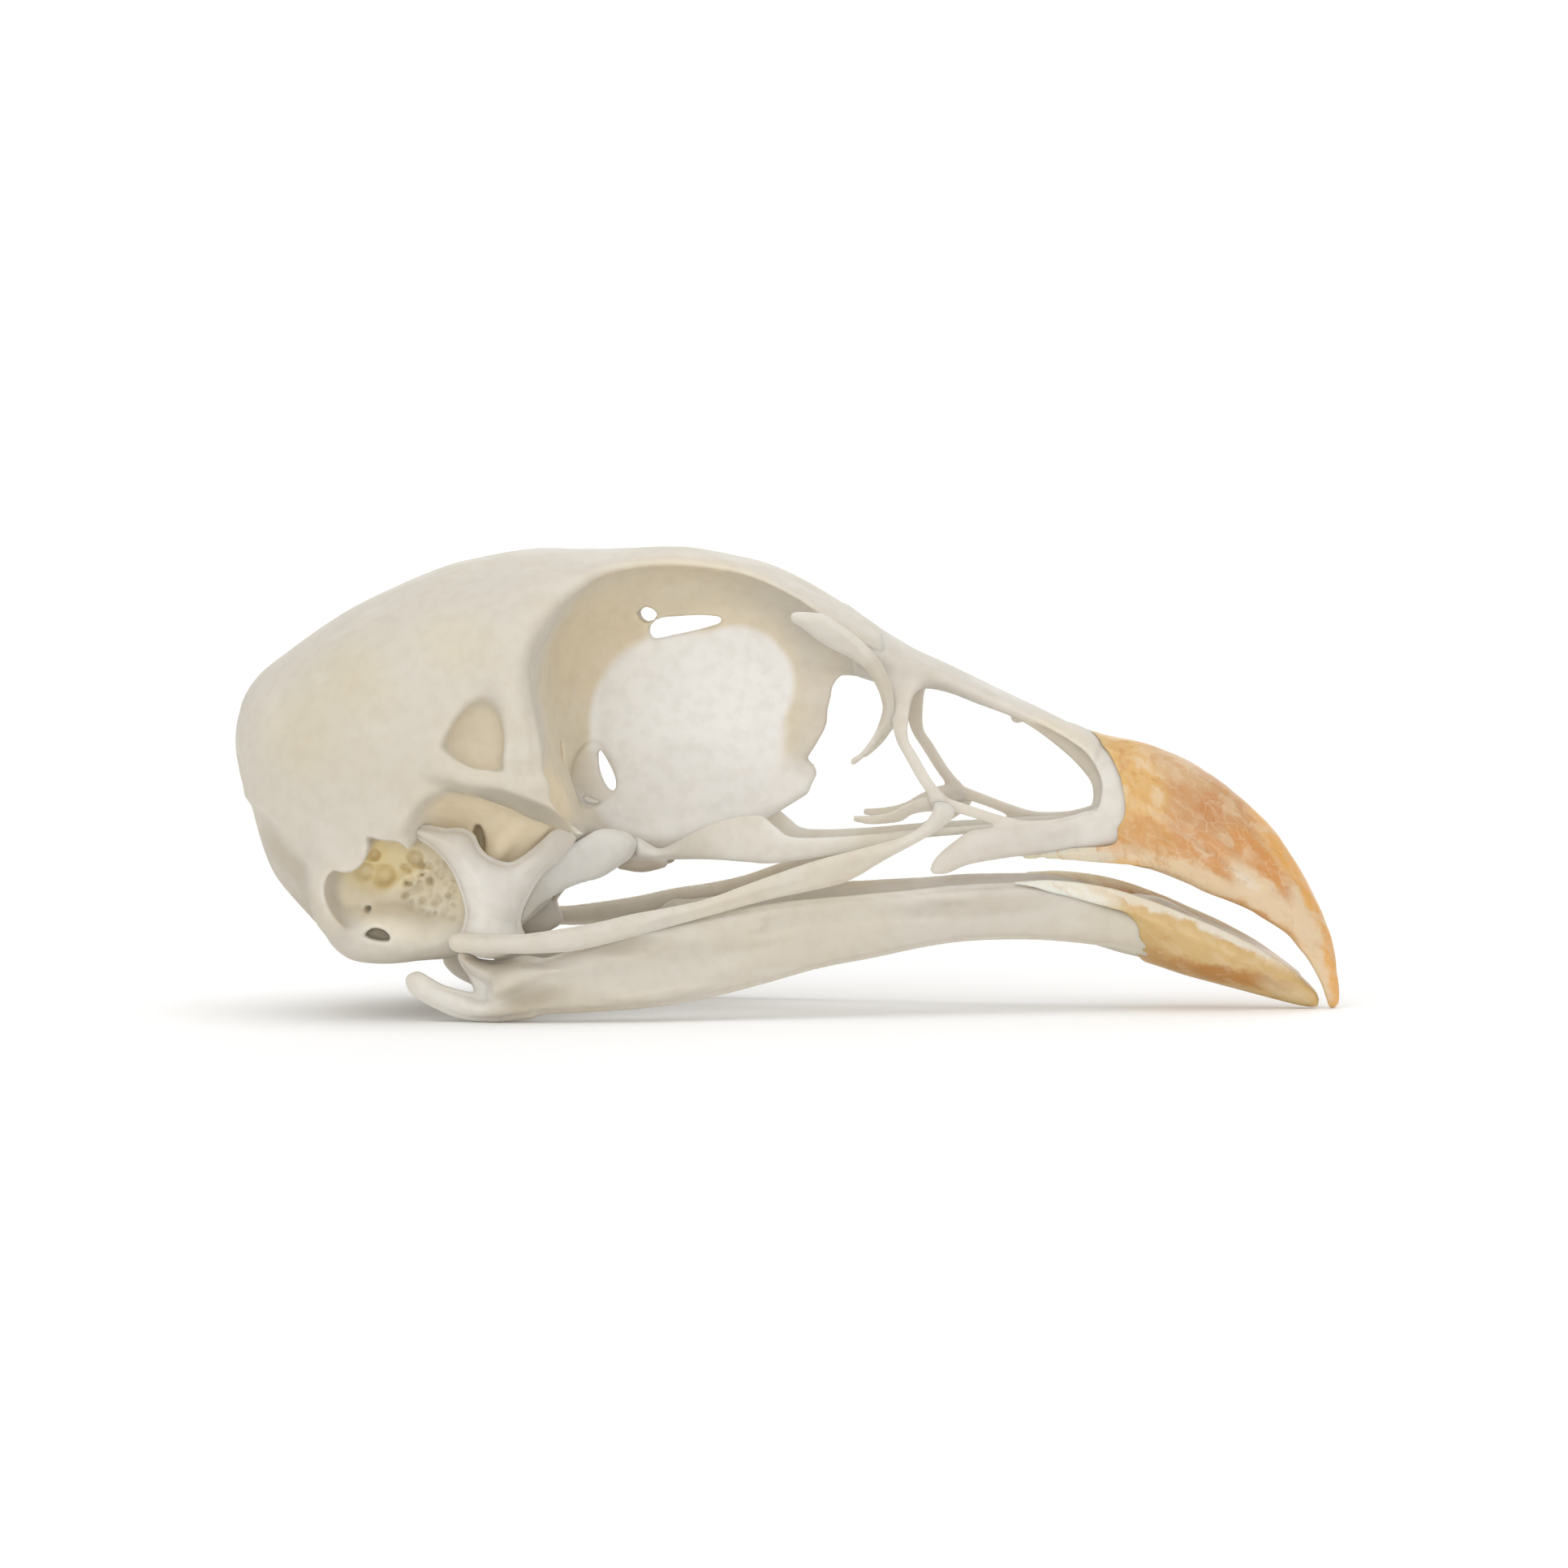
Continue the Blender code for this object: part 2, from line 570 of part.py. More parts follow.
def upper_jaw():
    """Bridge over the nostrils, bill core, nasal bars, cheek strands and palate prongs."""
    core = [section(a, b, c, d, w, 0.0, 0.42, 2.2, 2.2, 20) for a, b, c, d, w in flow(BILL_CORE, 2)]
    bridge = [section(a, b, c, d, w, 0.0, 0.62, 2.2, 2.0, 16) for a, b, c, d, w in flow(BRIDGE, 2)]
    body = loft("upper_jaw", core)
    pieces = [loft("bridge", bridge)]
    for side in (-1, 1):
        pieces.append(rod("nasal_bar", NASAL_BAR, 2, side))
        pieces.append(rod("border", LOWER_BORDER, 2, side))
        pieces.append(blade("spike", MAXILLA_SPIKE, 2, 10, side))
        pieces.append(rod("maxillopalatine", MAXILLO_PALATINE, 2, side))
    return cut(fuse(body, pieces), [plate("nostril", NOSTRIL, 6.0)])


def upper_sheath(core):
    """Horn of the upper bill, hooked down past the lower one."""
    rings = [section(a, b, c, d, w, 0.0, 0.36, 2.1, 2.6, 24) for a, b, c, d, w in flow(UPPER_SHEATH, 2)]
    horn = loft("upper_beak_sheath", rings)
    x, z, radius = SHEATH_REAR
    horn = cut(horn, [plate("rear", oval(x, z, 2 * radius, 2 * radius, 32), 6.0)])
    return clear_of(horn, [core], GAP, 0.25, 1100)


def mandible():
    """Both sides of the lower jaw, joined at the chin."""
    chin = [section(a, b, c, d, w, 0.0, 0.5, 2.4, 2.4, 16) for a, b, c, d, w in flow(LOWER_CORE, 2)]
    pieces = []
    for side in (-1, 1):
        pieces.append(blade("ramus", RAMUS, 2, 14, side, 2.6))
        pieces.append(blade("articular", ARTICULAR, 2, 14, side, 2.6))
        pieces.append(rod("retroarticular", RETROARTICULAR, 2, side))
        pieces.append(rod("medial_process", MEDIAL_PROCESS, 2, side))
    jaw = fuse(loft("mandible", chin), pieces)
    return cut(jaw, [ball("trough", *LOWER_TROUGH[:2], 1, LOWER_TROUGH[2])])


def lower_sheath(core):
    """Horn of the lower bill, hollow above like a spoon."""
    rings = [section(a, b, c, d, w, 0.0, 0.62, 2.6, 2.0, 20) for a, b, c, d, w in flow(LOWER_SHEATH, 2)]
    horn = clear_of(loft("lower_beak_sheath", rings), [core], GAP, 0.25, 1500)
    return cut(horn, [ball("trough", *LOWER_TROUGH[:2], 1, LOWER_TROUGH[2])])


def quadrate():
    """Hinge bone between braincase, cheek bar and lower jaw."""
    pieces = [rod("otic", QUADRATE_OTIC), rod("otic_front", QUADRATE_OTIC_FRONT), rod("orbital", QUADRATE_ORBITAL),
              ball("body", *QUADRATE_BODY, -1), ball("foot", *QUADRATE_FOOT, -1)]
    return melt("right_quadrate", pieces, 0.2, 2, 520)


def finish(obj, colour, roughness):
    """Metres, one material, smooth faces."""
    obj.data.transform(Matrix.Scale(MM, 4))
    skin = bpy.data.materials.new(obj.name)
    skin.use_nodes = True
    shader = skin.node_tree.nodes["Principled BSDF"]
    shader.inputs["Base Color"].default_value = colour
    shader.inputs["Roughness"].default_value = roughness
    shader.inputs["Metallic"].default_value = 0.0
    obj.data.materials.clear()
    obj.data.materials.append(skin)
    obj.data.shade_smooth()


def build():
    """Every bone and both horn sheaths, then the pose at rest."""
    skull = cranium()
    jaw = upper_jaw()
    lower = mandible()
    top_horn = upper_sheath(jaw)
    low_horn = lower_sheath(lower)
    hinge = clear_of(quadrate(), [skull, lower])
    wing = clear_of(blade("right_pterygoid", PTERYGOID, 2, 10), [skull, hinge])
    roof = clear_of(blade("right_palatine", PALATINE, 2, 10), [skull, wing, jaw])
    cheek = clear_of(blade("right_jugal_bar", JUGAL, 2, 10), [hinge, jaw, lower, roof])
    brow = clear_of(blade("right_lacrimal", LACRIMAL, 2, 10), [skull, jaw])
    bones = [skull, jaw, lower]
    for bone in (hinge, wing, roof, cheek, brow):
        bones.append(bone)
        bones.append(mirrored(bone, bone.name.replace("right", "left")))
    horns = [(top_horn, HORN_UPPER), (low_horn, HORN_LOWER)]
    everything = bones + [horn for horn, colour in horns]
    corners = np.array([v.co[:] for obj in everything for v in obj.data.vertices])
    low, high = corners.min(0), corners.max(0)
    shift = Matrix.Translation((-(low[0] + high[0]) / 2, -(low[1] + high[1]) / 2, -low[2]))
    for obj in everything:
        obj.data.transform(shift)
    for bone in bones:
        finish(bone, BONE, 0.55)
    for horn, colour in horns:
        finish(horn, colour, 0.35)
    bpy.context.view_layer.update()


build()
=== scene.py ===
"""Looks of a chukar partridge's skull: dry ivory bone and amber horn on a pale floor.

Sizes are in millimetres: +X towards the tip of the bill, +Z up. Each bone is shaped in a block of space,
whose numbers are below zero inside it, and its surface is then taken as a mesh. A block holds one side of
the skull: Y is the distance from its middle plane there, and the form is mirrored.
"""
import math

import bpy
import numpy as np
from mathutils import Matrix, Vector


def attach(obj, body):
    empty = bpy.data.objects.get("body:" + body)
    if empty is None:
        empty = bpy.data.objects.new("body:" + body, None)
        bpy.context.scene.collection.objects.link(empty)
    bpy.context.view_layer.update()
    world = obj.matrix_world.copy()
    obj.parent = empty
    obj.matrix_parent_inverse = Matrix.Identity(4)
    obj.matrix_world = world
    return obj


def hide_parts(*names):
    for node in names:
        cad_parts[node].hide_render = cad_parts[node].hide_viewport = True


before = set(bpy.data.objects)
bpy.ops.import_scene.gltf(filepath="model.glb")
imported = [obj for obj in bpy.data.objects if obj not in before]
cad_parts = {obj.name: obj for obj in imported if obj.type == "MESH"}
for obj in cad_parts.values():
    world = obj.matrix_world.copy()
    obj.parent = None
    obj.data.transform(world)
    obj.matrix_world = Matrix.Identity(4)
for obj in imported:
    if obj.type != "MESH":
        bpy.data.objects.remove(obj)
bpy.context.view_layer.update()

MM = 0.001
# Stretch of a pattern that is alike along x, side and z
EVEN = (1.0, 1.0, 1.0)
# From the tables' origin to the middle of the base of the solids' box
ORIGIN_SHIFT = (0.12, 0.0, 0.04)
# Distance in an empty block, and how far round a form its distance is worked out
FAR = 3.0
REACH = 0.7
# More than any distance here, and the least slope that a field is levelled by
ENDLESS = 1e9
LEAST_SLOPE = 0.05
# Edges of the horn that turn more than this many degrees are drawn sharp
HORN_SHARP_ANGLE = 38
# Blend of a bone's first form, which has nothing to run into
FIRST_BLEND = 0.01
# Radius at the ends of a soft hollow's line: below zero, so that the hollow fades out there
FADE = -0.8
# Chance numbers along each side of a ripple's block, and its shift from the origin in steps between them
RIPPLE_KNOTS = 24
RIPPLE_SHIFT = 100
# Ripple of a ragged rim: how far apart its chance numbers are, and their seed
RAGGED_RIPPLE = (0.9, 11)
# Distances from the middle that lie past the whole skull, past the jaws, past the wall between the eyes, and
# past the opening in it
PAST_SKULL = 12.0
PAST_JAWS = 6.0
PAST_WALL = 3.0
PAST_OPTIC_HOLE = 2.0
# Block of space for each bone: lowest corner, highest corner, cell, and the most triangles of its mesh
BLOCKS = {
    "cranium": ((-28.2, 0.0, 1.8), (7.0, 11.6, 23.6), 0.11, 198000),
    "upper_jaw": ((2.6, 0.0, 6.0), (23.8, 5.6, 19.6), 0.075, 150000),
    "mandible": ((-19.2, 0.0, -0.7), (24.4, 9.9, 7.2), 0.1, 190000),
    "upper_beak_sheath": ((10.4, 0.0, -0.6), (27.8, 4.2, 14.8), 0.07, 190000),
    "lower_beak_sheath": ((10.4, 0.0, -0.6), (26.8, 4.2, 7.2), 0.07, 150000),
    "quadrate": ((-19.0, 4.4, 2.4), (-8.8, 10.4, 10.8), 0.08, 60000),
    "pterygoid": ((-13.8, 0.4, 4.0), (-6.2, 7.8, 10.0), 0.08, 60000),
    "palatine": ((-8.6, 0.4, 6.2), (14.6, 4.2, 10.8), 0.08, 60000),
    "jugal_bar": ((-17.0, 3.6, 2.8), (9.6, 10.6, 11.2), 0.08, 60000),
    "lacrimal": ((-0.2, 2.2, 11.4), (6.6, 6.0, 20.8), 0.07, 60000),
}

# Camera: the photograph looks from a little ahead of square and a little above
VIEW_YAW = 6.0
VIEW_HEIGHT = 3.75
VIEW_ROLL = 0.59
VIEW_DISTANCE = 700.0
VIEW_TARGET = (-0.18, 0.0, 11.13)
MM_PER_PIXEL = 0.04
PICTURE = 1932
SENSOR = 36.0

# Lamps: name, the way to it, strength, angle across; then the even light from all around
SUNS = [
    ("key", (-0.6, -1.0, 0.9), 0.45, 40),
    ("fill", (0.7, -1.0, 0.35), 0.25, 60),
    ("top", (0.0, -0.1, 1.0), 0.9, 60),
    ("front", (0.1, -1.0, 0.08), 0.75, 20),
    ("back", (0.2, 1.0, 0.3), 0.7, 60),
]
SKY = 0.625
WHITE = (1.0, 1.0, 1.0, 1.0)
FLOOR_TONE = (0.97, 0.97, 0.965, 1.0)
FLOOR_SIZE = 40.0

# In the tables below, side is the distance from the middle plane. An outline has points x, z in the side
# view. A rod has rows x, side, z, radius. A blade has rows of one edge's x, side, z, the other edge's x,
# side, z and half its thickness. A ball has a centre x, side, z, radii, and for some a turn in degrees.
# Marks are soft hollows, and ridges where the depth is below zero: depth, width, then points x, side, z.
# A flat bone has an outline, its side and half its thickness set along x, how far in from the outline it
# gets that thick, and for some half the thickness of its edge, and its lean: outwards for each step up, and
# the height where it has none.

# Braincase and forehead: x, top z, base z, half width, height of the widest level as a share
VAULT = [
    (-27.1, 14.8, 12.0, 2.1, 0.5),
    (-26.85, 15.5, 10.6, 3.3, 0.5),
    (-26.45, 16.35, 8.7, 4.6, 0.5),
    (-25.7, 17.1, 6.65, 6.0, 0.49),
    (-24.6, 17.95, 5.2, 7.2, 0.48),
    (-22.8, 19.15, 3.55, 8.6, 0.47),
    (-20.5, 20.5, 2.95, 9.6, 0.46),
    (-17.5, 21.75, 3.05, 10.2, 0.48),
    (-14.8, 22.4, 3.3, 10.4, 0.52),
    (-12.4, 22.75, 4.95, 10.1, 0.6),
    (-10.6, 22.75, 7.1, 8.4, 0.72),
    (-8.6, 22.75, 8.4, 6.2, 0.84),
    (-6.8, 22.75, 11.8, 4.9, 0.86),
    (-5.0, 22.75, 16.35, 4.3, 0.84),
    (-3.0, 22.4, 17.4, 4.0, 0.84),
    (-1.0, 21.9, 17.4, 3.9, 0.84),
    (1.1, 20.85, 16.85, 4.0, 0.82),
    (2.8, 19.83, 16.5, 3.6, 0.78),
    (4.2, 18.93, 16.1, 3.1, 0.72),
    (5.4, 18.1, 15.95, 2.6, 0.66),
    (6.3, 17.35, 16.15, 1.7, 0.6),
]
# How square its lower half is, then round which x it is fuller, and ahead of which it gets flatter, each
# with how far that reaches
BASE_POWER = 2.2
BASE_FULL = (-18.0, 6.0)
BASE_FLAT = (-10.0, 3.0)
BACK_SWELL = ((-23.9, 0.0, 13.45), (3.52, 6.9, 4.2))
# Eye socket: middle x, z, then radii of its rim and of its flat wall all round, from ahead and upwards
ORBIT_CENTRE = (-4.35, 14.5)
ORBIT_RIM = [9.6, 8.2, 7.65, 7.6, 8.25, 7.75, 6.65, 6.9, 8.0, 8.5, 9.5, 10.5]
ORBIT_WALL = [4.4, 5.1, 5.4, 4.6, 4.4, 5.0, 5.2, 5.8, 6.0, 4.9, 4.6, 4.4]
ORBIT_RIM_SIDE = 4.3
# Over how many degrees the radii are smoothed, and how far past the rim its space goes
ORBIT_SMOOTHING = 23
ORBIT_MARGIN = 0.3
# Share of the way out past which its wall rises straight, and how much shallower it is towards an angle
ORBIT_STEEPEST = 0.985
ORBIT_FLARE = 0.35
ORBIT_FLARE_ANGLE = 2.6
SEPTUM_SIDE = 0.2
SEPTUM = [(-11.5, 20.3), (-7.0, 21.0), (-2.1, 20.5), (1.0, 19.2), (2.9, 17.9), (3.45, 16.7), (2.6, 16.45),
          (2.15, 15.9), (2.05, 15.4), (1.85, 14.8), (1.8, 14.1), (1.5, 13.55), (0.95, 12.85), (0.6, 12.3),
          (1.15, 11.97), (1.3, 11.5), (0.9, 11.0), (0.05, 10.55), (-1.0, 10.2), (-1.6, 9.6), (-1.9, 9.2),
          (-5.5, 8.35), (-9.0, 7.7), (-11.5, 7.5)]
SEPTUM_SWELL = ((-4.6, 0.0, 14.2), (5.6, 0.62, 5.0))
ROOF_SLOT = [(-6.85, 18.9), (-6.3, 19.3), (-5.5, 19.38), (-4.4, 19.46), (-3.4, 19.42), (-3.25, 19.2),
             (-3.5, 18.97), (-4.7, 18.7), (-5.8, 18.5), (-6.7, 18.33)]
ROOF_PORE = [(-7.4, 19.6), (-6.9, 19.9), (-6.45, 19.5), (-7.0, 19.15)]
OPTIC_HOLLOW = [(-10.08, 13.05), (-9.4, 13.1), (-8.95, 12.35), (-8.68, 11.5), (-8.9, 10.75), (-9.6, 10.15),
                (-10.25, 10.35), (-10.75, 11.1), (-10.6, 12.25)]
OPTIC_HOLE = [(-9.42, 12.8), (-8.95, 12.05), (-8.65, 11.3), (-8.74, 10.85), (-9.06, 11.05), (-9.38, 11.84)]
OPTIC_SLIT = [(-10.15, 10.55), (-9.9, 10.42), (-9.55, 10.3), (-9.5, 10.2), (-9.9, 10.24), (-10.2, 10.4)]
# Small openings beside them: top x, side, z, base x, side, z
OPTIC_PORES = [(-11.15, 3.4, 13.15, -11.2, 3.6, 12.45), (-11.05, 3.3, 11.25, -10.95, 3.5, 10.85)]
OPTIC_PILLAR = [(-10.7, 1.0, 14.4, 0.12), (-11.0, 1.4, 13.2, 0.22), (-11.0, 1.5, 11.6, 0.25),
                (-10.7, 1.3, 10.2, 0.3)]
KEEL = [(-12.3, 0.0, 7.7, 1.5), (-10.0, 0.0, 8.1, 1.15), (-5.95, 0.0, 8.65, 0.75), (-1.7, 0.0, 9.7, 0.5),
        (0.6, 0.0, 10.8, 0.32)]

# Ear, temple and back of the head
EAR_ROOM = ((-18.0, 10.6, 6.2), (5.1, 5.0, 4.6))
EAR_RIM = [(-19.75, 9.25), (-19.8, 8.7), (-19.98, 8.2), (-20.35, 7.85), (-20.9, 7.7), (-21.55, 7.62),
           (-21.9, 6.9), (-21.85, 6.0), (-21.45, 5.05), (-20.85, 4.2), (-20.3, 3.4), (-19.5, 2.4),
           (-14.5, 2.2), (-13.2, 4.5), (-13.6, 7.5), (-15.0, 8.9), (-17.0, 9.2), (-17.75, 8.55),
           (-18.2, 8.85), (-18.95, 9.05)]
EAR_LOBE = ((-20.85, 8.3, 9.1), (1.4, 1.1, 1.6))
EAR_SHELF = [(-21.3, 6.6, 6.3, 0.3), (-20.0, 5.9, 6.0, 0.35), (-18.9, 5.7, 6.45, 0.3),
             (-17.6, 5.9, 7.3, 0.22)]
EAR_SILL = [(-20.6, 5.8, 4.0, 0.9), (-18.0, 6.0, 3.85, 0.95), (-15.2, 5.4, 4.0, 0.95)]
EAR_FLAP = ((-21.6, 7.3, 6.8), (1.4, 2.1, 2.7))
EAR_FLOOR = ((-19.8, 6.0, 4.3), (2.3, 1.7, 1.35))
EAR_HOLE = [(-20.25, 4.3), (-19.85, 4.62), (-19.3, 4.55), (-18.95, 4.2), (-19.05, 3.92), (-19.6, 3.95),
            (-20.05, 4.08)]
EAR_HOLE_SIDES = (6.5, 9.0)
# Pits of its wall: x, z, radius, then how deep they are and between which sides their lines run
EAR_PITS = [(-19.45, 7.05, 0.46), (-20.35, 7.3, 0.4), (-20.15, 5.45, 0.15), (-17.9, 7.9, 0.34),
            (-19.9, 8.1, 0.3)]
PIT_DEPTH = 0.4
PIT_SIDES = (3.6, 8.6)
# Spongy patch of the ear's wall: from x to x, from z to z, then its pores, their lines' ends and slant
SPONGE = (-18.7, -15.9, 5.0, 7.7)
SPONGE_PORES = 70
SPONGE_RADII = (0.06, 0.17)
SPONGE_DEPTH = 0.16
SPONGE_SIDES = (3.6, 8.0)
SPONGE_SLANT = 0.1
# A pore's width, in its radii, and the radius of its line
PORE_WIDTH = 1.6
PORE_LINE = 0.02
ADDUCTOR = ((-12.6, 11.6, 7.05), (5.8, 4.9, 5.0))
ADDUCTOR_RIDGE = [(-14.1, 6.9, 7.6, 0.3), (-13.3, 7.1, 9.1, 0.45), (-12.3, 7.3, 10.3, 0.3)]
ADDUCTOR_PIT = ((-14.6, 7.2, 8.75), (0.28, 1.2, 0.9))
OTIC_SOCKET = ((-15.5, 10.0, 9.4), (2.1, 2.2, 2.0))
TEMPORAL_BOWL = ((-14.25, 12.1, 13.9), (2.6, 3.3, 3.3))
TEMPORAL_FOSSA = [(-15.97, 13.7), (-15.5, 14.5), (-15.0, 15.2), (-14.3, 15.88), (-13.3, 16.3),
                  (-12.95, 15.95), (-12.75, 15.25), (-12.65, 14.45), (-12.62, 13.65), (-12.75, 12.9),
                  (-12.45, 12.15), (-12.75, 11.95), (-13.4, 12.36), (-14.45, 12.5), (-15.25, 12.95),
                  (-15.8, 13.4)]
FOSSA_BROW = ((-14.0, 11.25, 15.4), (1.5, 1.15, 1.7))
FORAMEN_MAGNUM = ((-24.9, 0.0, 5.55), (1.7, 2.2, 3.2), 45.0)
CONDYLE = ((-22.45, 0.0, 4.05), (0.75, 0.75, 0.75))
# Hollows and ridges of the base
BASE_MARKS = [
    (-0.45, 1.1, [(-21.6, 0.8, 3.0), (-19.4, 2.6, 2.8), (-16.6, 2.9, 2.9), (-13.6, 1.6, 4.2)]),
    (0.4, 1.0, [(-20.9, 4.6, 3.2), (-18.6, 4.9, 3.0), (-15.9, 4.4, 3.2), (-13.2, 3.4, 4.6)]),
    (0.3, 0.8, [(-20.2, 0.0, 2.9), (-18.0, 0.0, 2.9), (-15.4, 0.0, 3.2)]),
    (0.6, 0.45, [(-14.2, 1.2, 3.6), (-13.6, 1.3, 4.1), (-13.0, 1.4, 4.6)]),
    (0.6, 0.4, [(-20.6, 3.3, 3.4), (-20.4, 3.4, 3.2), (-20.2, 3.5, 3.0)]),
]
OCCIPUT = [(-27.8, 10.2), (-25.7, 9.95), (-25.0, 9.5), (-24.1, 8.0), (-22.6, 7.2), (-22.3, 5.6),
           (-21.7, 4.2), (-21.0, 2.6), (-23.5, 2.0), (-27.5, 5.0)]

# Temple blade
ZYGOMATIC = {
    "outline": [(-17.4, 12.2), (-16.3, 13.2), (-15.3, 12.78), (-14.45, 12.45), (-13.4, 12.33),
                (-12.35, 12.0), (-11.0, 11.9), (-10.72, 10.95), (-10.15, 10.25), (-9.6, 9.68), (-9.1, 9.2),
                (-9.75, 9.25), (-10.9, 9.72), (-11.85, 10.1), (-12.65, 10.55), (-13.6, 10.92),
                (-14.65, 11.28), (-15.9, 11.85), (-17.1, 11.8)],
    "side": [(-17.5, 9.3), (-15.5, 9.75), (-13.0, 10.0), (-11.0, 9.95), (-9.0, 9.4)],
    "thick": [(-17.5, 0.5), (-14.0, 0.36), (-11.0, 0.26), (-9.0, 0.14)],
    "radius": 0.5, "lean": (0.28, 11.3),
}
POSTORBITAL = [
    (-13.0, 8.8, 17.6, -13.9, 9.0, 17.2, 0.5),
    (-12.35, 9.4, 16.2, -12.95, 9.5, 16.0, 0.5),
    (-11.75, 9.65, 14.6, -12.45, 9.8, 14.5, 0.46),
    (-11.45, 9.75, 13.5, -12.4, 9.9, 13.4, 0.4),
    (-11.35, 9.8, 12.6, -12.4, 9.95, 12.5, 0.36),
    (-11.3, 9.85, 11.8, -12.2, 9.95, 11.5, 0.32),
]

# Upper jaw: top x, z, base x, z, half width, height of the widest level as a share
BRIDGE = [
    (3.4, 19.3, 3.4, 16.4, 3.1, 0.66),
    (4.3, 18.82, 4.3, 16.1, 3.0, 0.64),
    (5.3, 18.22, 5.2, 15.92, 2.8, 0.62),
    (6.2, 17.68, 6.1, 15.8, 2.6, 0.62),
    (8.05, 16.83, 7.8, 15.5, 2.1, 0.62),
    (10.3, 15.77, 9.85, 14.6, 1.8, 0.62),
    (12.35, 14.8, 11.95, 13.5, 1.75, 0.62),
    (13.95, 13.98, 13.3, 12.3, 2.05, 0.62),
    (15.3, 13.3, 15.0, 8.95, 2.5, 0.62),
]
BILL_CORE = [
    (13.75, 14.1, 14.65, 8.0, 2.6, 0.36),
    (15.95, 13.2, 16.45, 7.7, 2.9, 0.36),
    (18.6, 11.9, 18.25, 7.3, 2.45, 0.36),
    (21.0, 10.1, 20.4, 6.65, 1.8, 0.4),
    (22.95, 8.2, 22.2, 6.0, 1.0, 0.42),
]
NOSTRIL = [(6.75, 15.78), (8.0, 15.6), (9.25, 15.12), (10.25, 14.78), (11.1, 14.45), (11.65, 14.2),
           (12.5, 13.6), (13.7, 12.6), (14.45, 11.85), (14.95, 11.2), (15.08, 10.6), (15.0, 10.1),
           (14.7, 9.65), (14.1, 9.34), (13.0, 9.2), (11.86, 9.36), (10.5, 9.75), (9.3, 10.1), (8.5, 10.45),
           (8.0, 11.05), (7.4, 12.1), (6.85, 13.2), (6.55, 14.3), (6.55, 15.1)]
NOSTRIL_RIM = [(10.6, 14.5), (11.75, 14.5), (12.6, 14.05), (13.85, 13.4), (14.85, 12.65), (15.35, 11.9),
               (15.62, 11.2), (15.58, 10.55), (15.38, 9.95), (14.7, 9.62), (13.2, 9.55), (11.5, 10.6),
               (10.6, 12.5)]
NOSTRIL_FUNNEL = ((12.6, 4.1, 11.3), (4.2, 3.6, 4.0))
BRIDGE_DROP = ((11.35, 1.0, 14.35), (0.3, 0.3, 0.24))
NASAL_BAR = [
    (4.5, 1.9, 17.2, 6.9, 2.0, 16.5, 0.5),
    (4.95, 2.9, 15.9, 6.25, 3.1, 15.75, 0.34),
    (5.5, 3.6, 14.6, 6.1, 3.7, 14.6, 0.22),
    (5.8, 3.9, 13.5, 6.12, 4.0, 13.5, 0.2),
    (6.3, 4.2, 12.6, 6.6, 4.2, 12.7, 0.18),
    (6.95, 4.45, 11.5, 7.25, 4.4, 11.6, 0.18),
    (7.5, 4.55, 10.75, 7.8, 4.5, 10.85, 0.2),
]
LOWER_BORDER = [
    (7.5, 4.55, 10.75, 7.6, 4.5, 10.35, 0.22),
    (8.5, 4.25, 10.4, 8.5, 4.25, 10.1, 0.2),
    (9.5, 3.95, 10.05, 9.5, 3.95, 9.78, 0.18),
    (10.5, 3.65, 9.7, 10.5, 3.65, 9.42, 0.18),
    (11.8, 3.3, 9.32, 11.8, 3.3, 9.15, 0.22),
    (13.4, 2.9, 9.1, 13.4, 2.9, 8.9, 0.35),
]
SPIKE = {
    "outline": [(7.3, 7.1), (7.4, 7.5), (7.85, 8.05), (9.0, 8.9), (9.65, 9.1), (11.55, 9.25), (13.4, 9.5),
                (15.4, 9.9), (18.0, 9.6), (18.2, 8.6), (15.9, 7.93), (13.5, 7.8), (11.55, 7.7), (9.3, 7.4),
                (8.2, 6.95), (7.55, 6.9)],
    "side": [(7.0, 4.4), (10.0, 3.85), (13.0, 2.95), (15.0, 2.4), (18.2, 1.8)],
    "thick": [(7.0, 0.22), (10.0, 0.34), (13.0, 0.42), (15.0, 0.5), (18.2, 0.5)],
    "radius": 0.6,
}
MAXILLO_PALATINE = [
    (3.45, 2.6, 9.62, 3.45, 2.5, 9.45, 0.1),
    (4.55, 2.9, 9.68, 4.3, 2.8, 9.36, 0.13),
    (5.4, 3.3, 9.86, 5.65, 3.1, 9.5, 0.14),
    (6.1, 3.7, 10.22, 6.3, 3.5, 9.9, 0.15),
    (7.0, 4.1, 10.55, 7.1, 3.9, 10.12, 0.2),
    (7.9, 4.5, 10.6, 7.9, 4.3, 10.15, 0.24),
]

UPPER_SHEATH = [
    (13.9, 14.2, 13.3, 7.6, 2.8, 0.36),
    (15.4, 13.55, 15.15, 7.42, 2.94, 0.36),
    (17.75, 12.98, 17.3, 7.08, 3.0, 0.36),
    (20.0, 11.95, 19.05, 6.5, 2.75, 0.36),
    (22.05, 10.5, 20.9, 5.6, 2.4, 0.36),
    (23.8, 8.75, 22.9, 4.72, 1.95, 0.36),
    (25.05, 6.97, 24.45, 3.7, 1.45, 0.36),
    (26.05, 5.05, 25.35, 2.65, 1.05, 0.36),
    (26.75, 3.05, 25.95, 1.6, 0.68, 0.38),
    (27.0, 1.2, 26.35, 0.6, 0.42, 0.45),
    (26.98, 0.35, 26.5, 0.15, 0.26, 0.5),
    (26.8, 0.02, 26.6, 0.0, 0.12, 0.5),
]
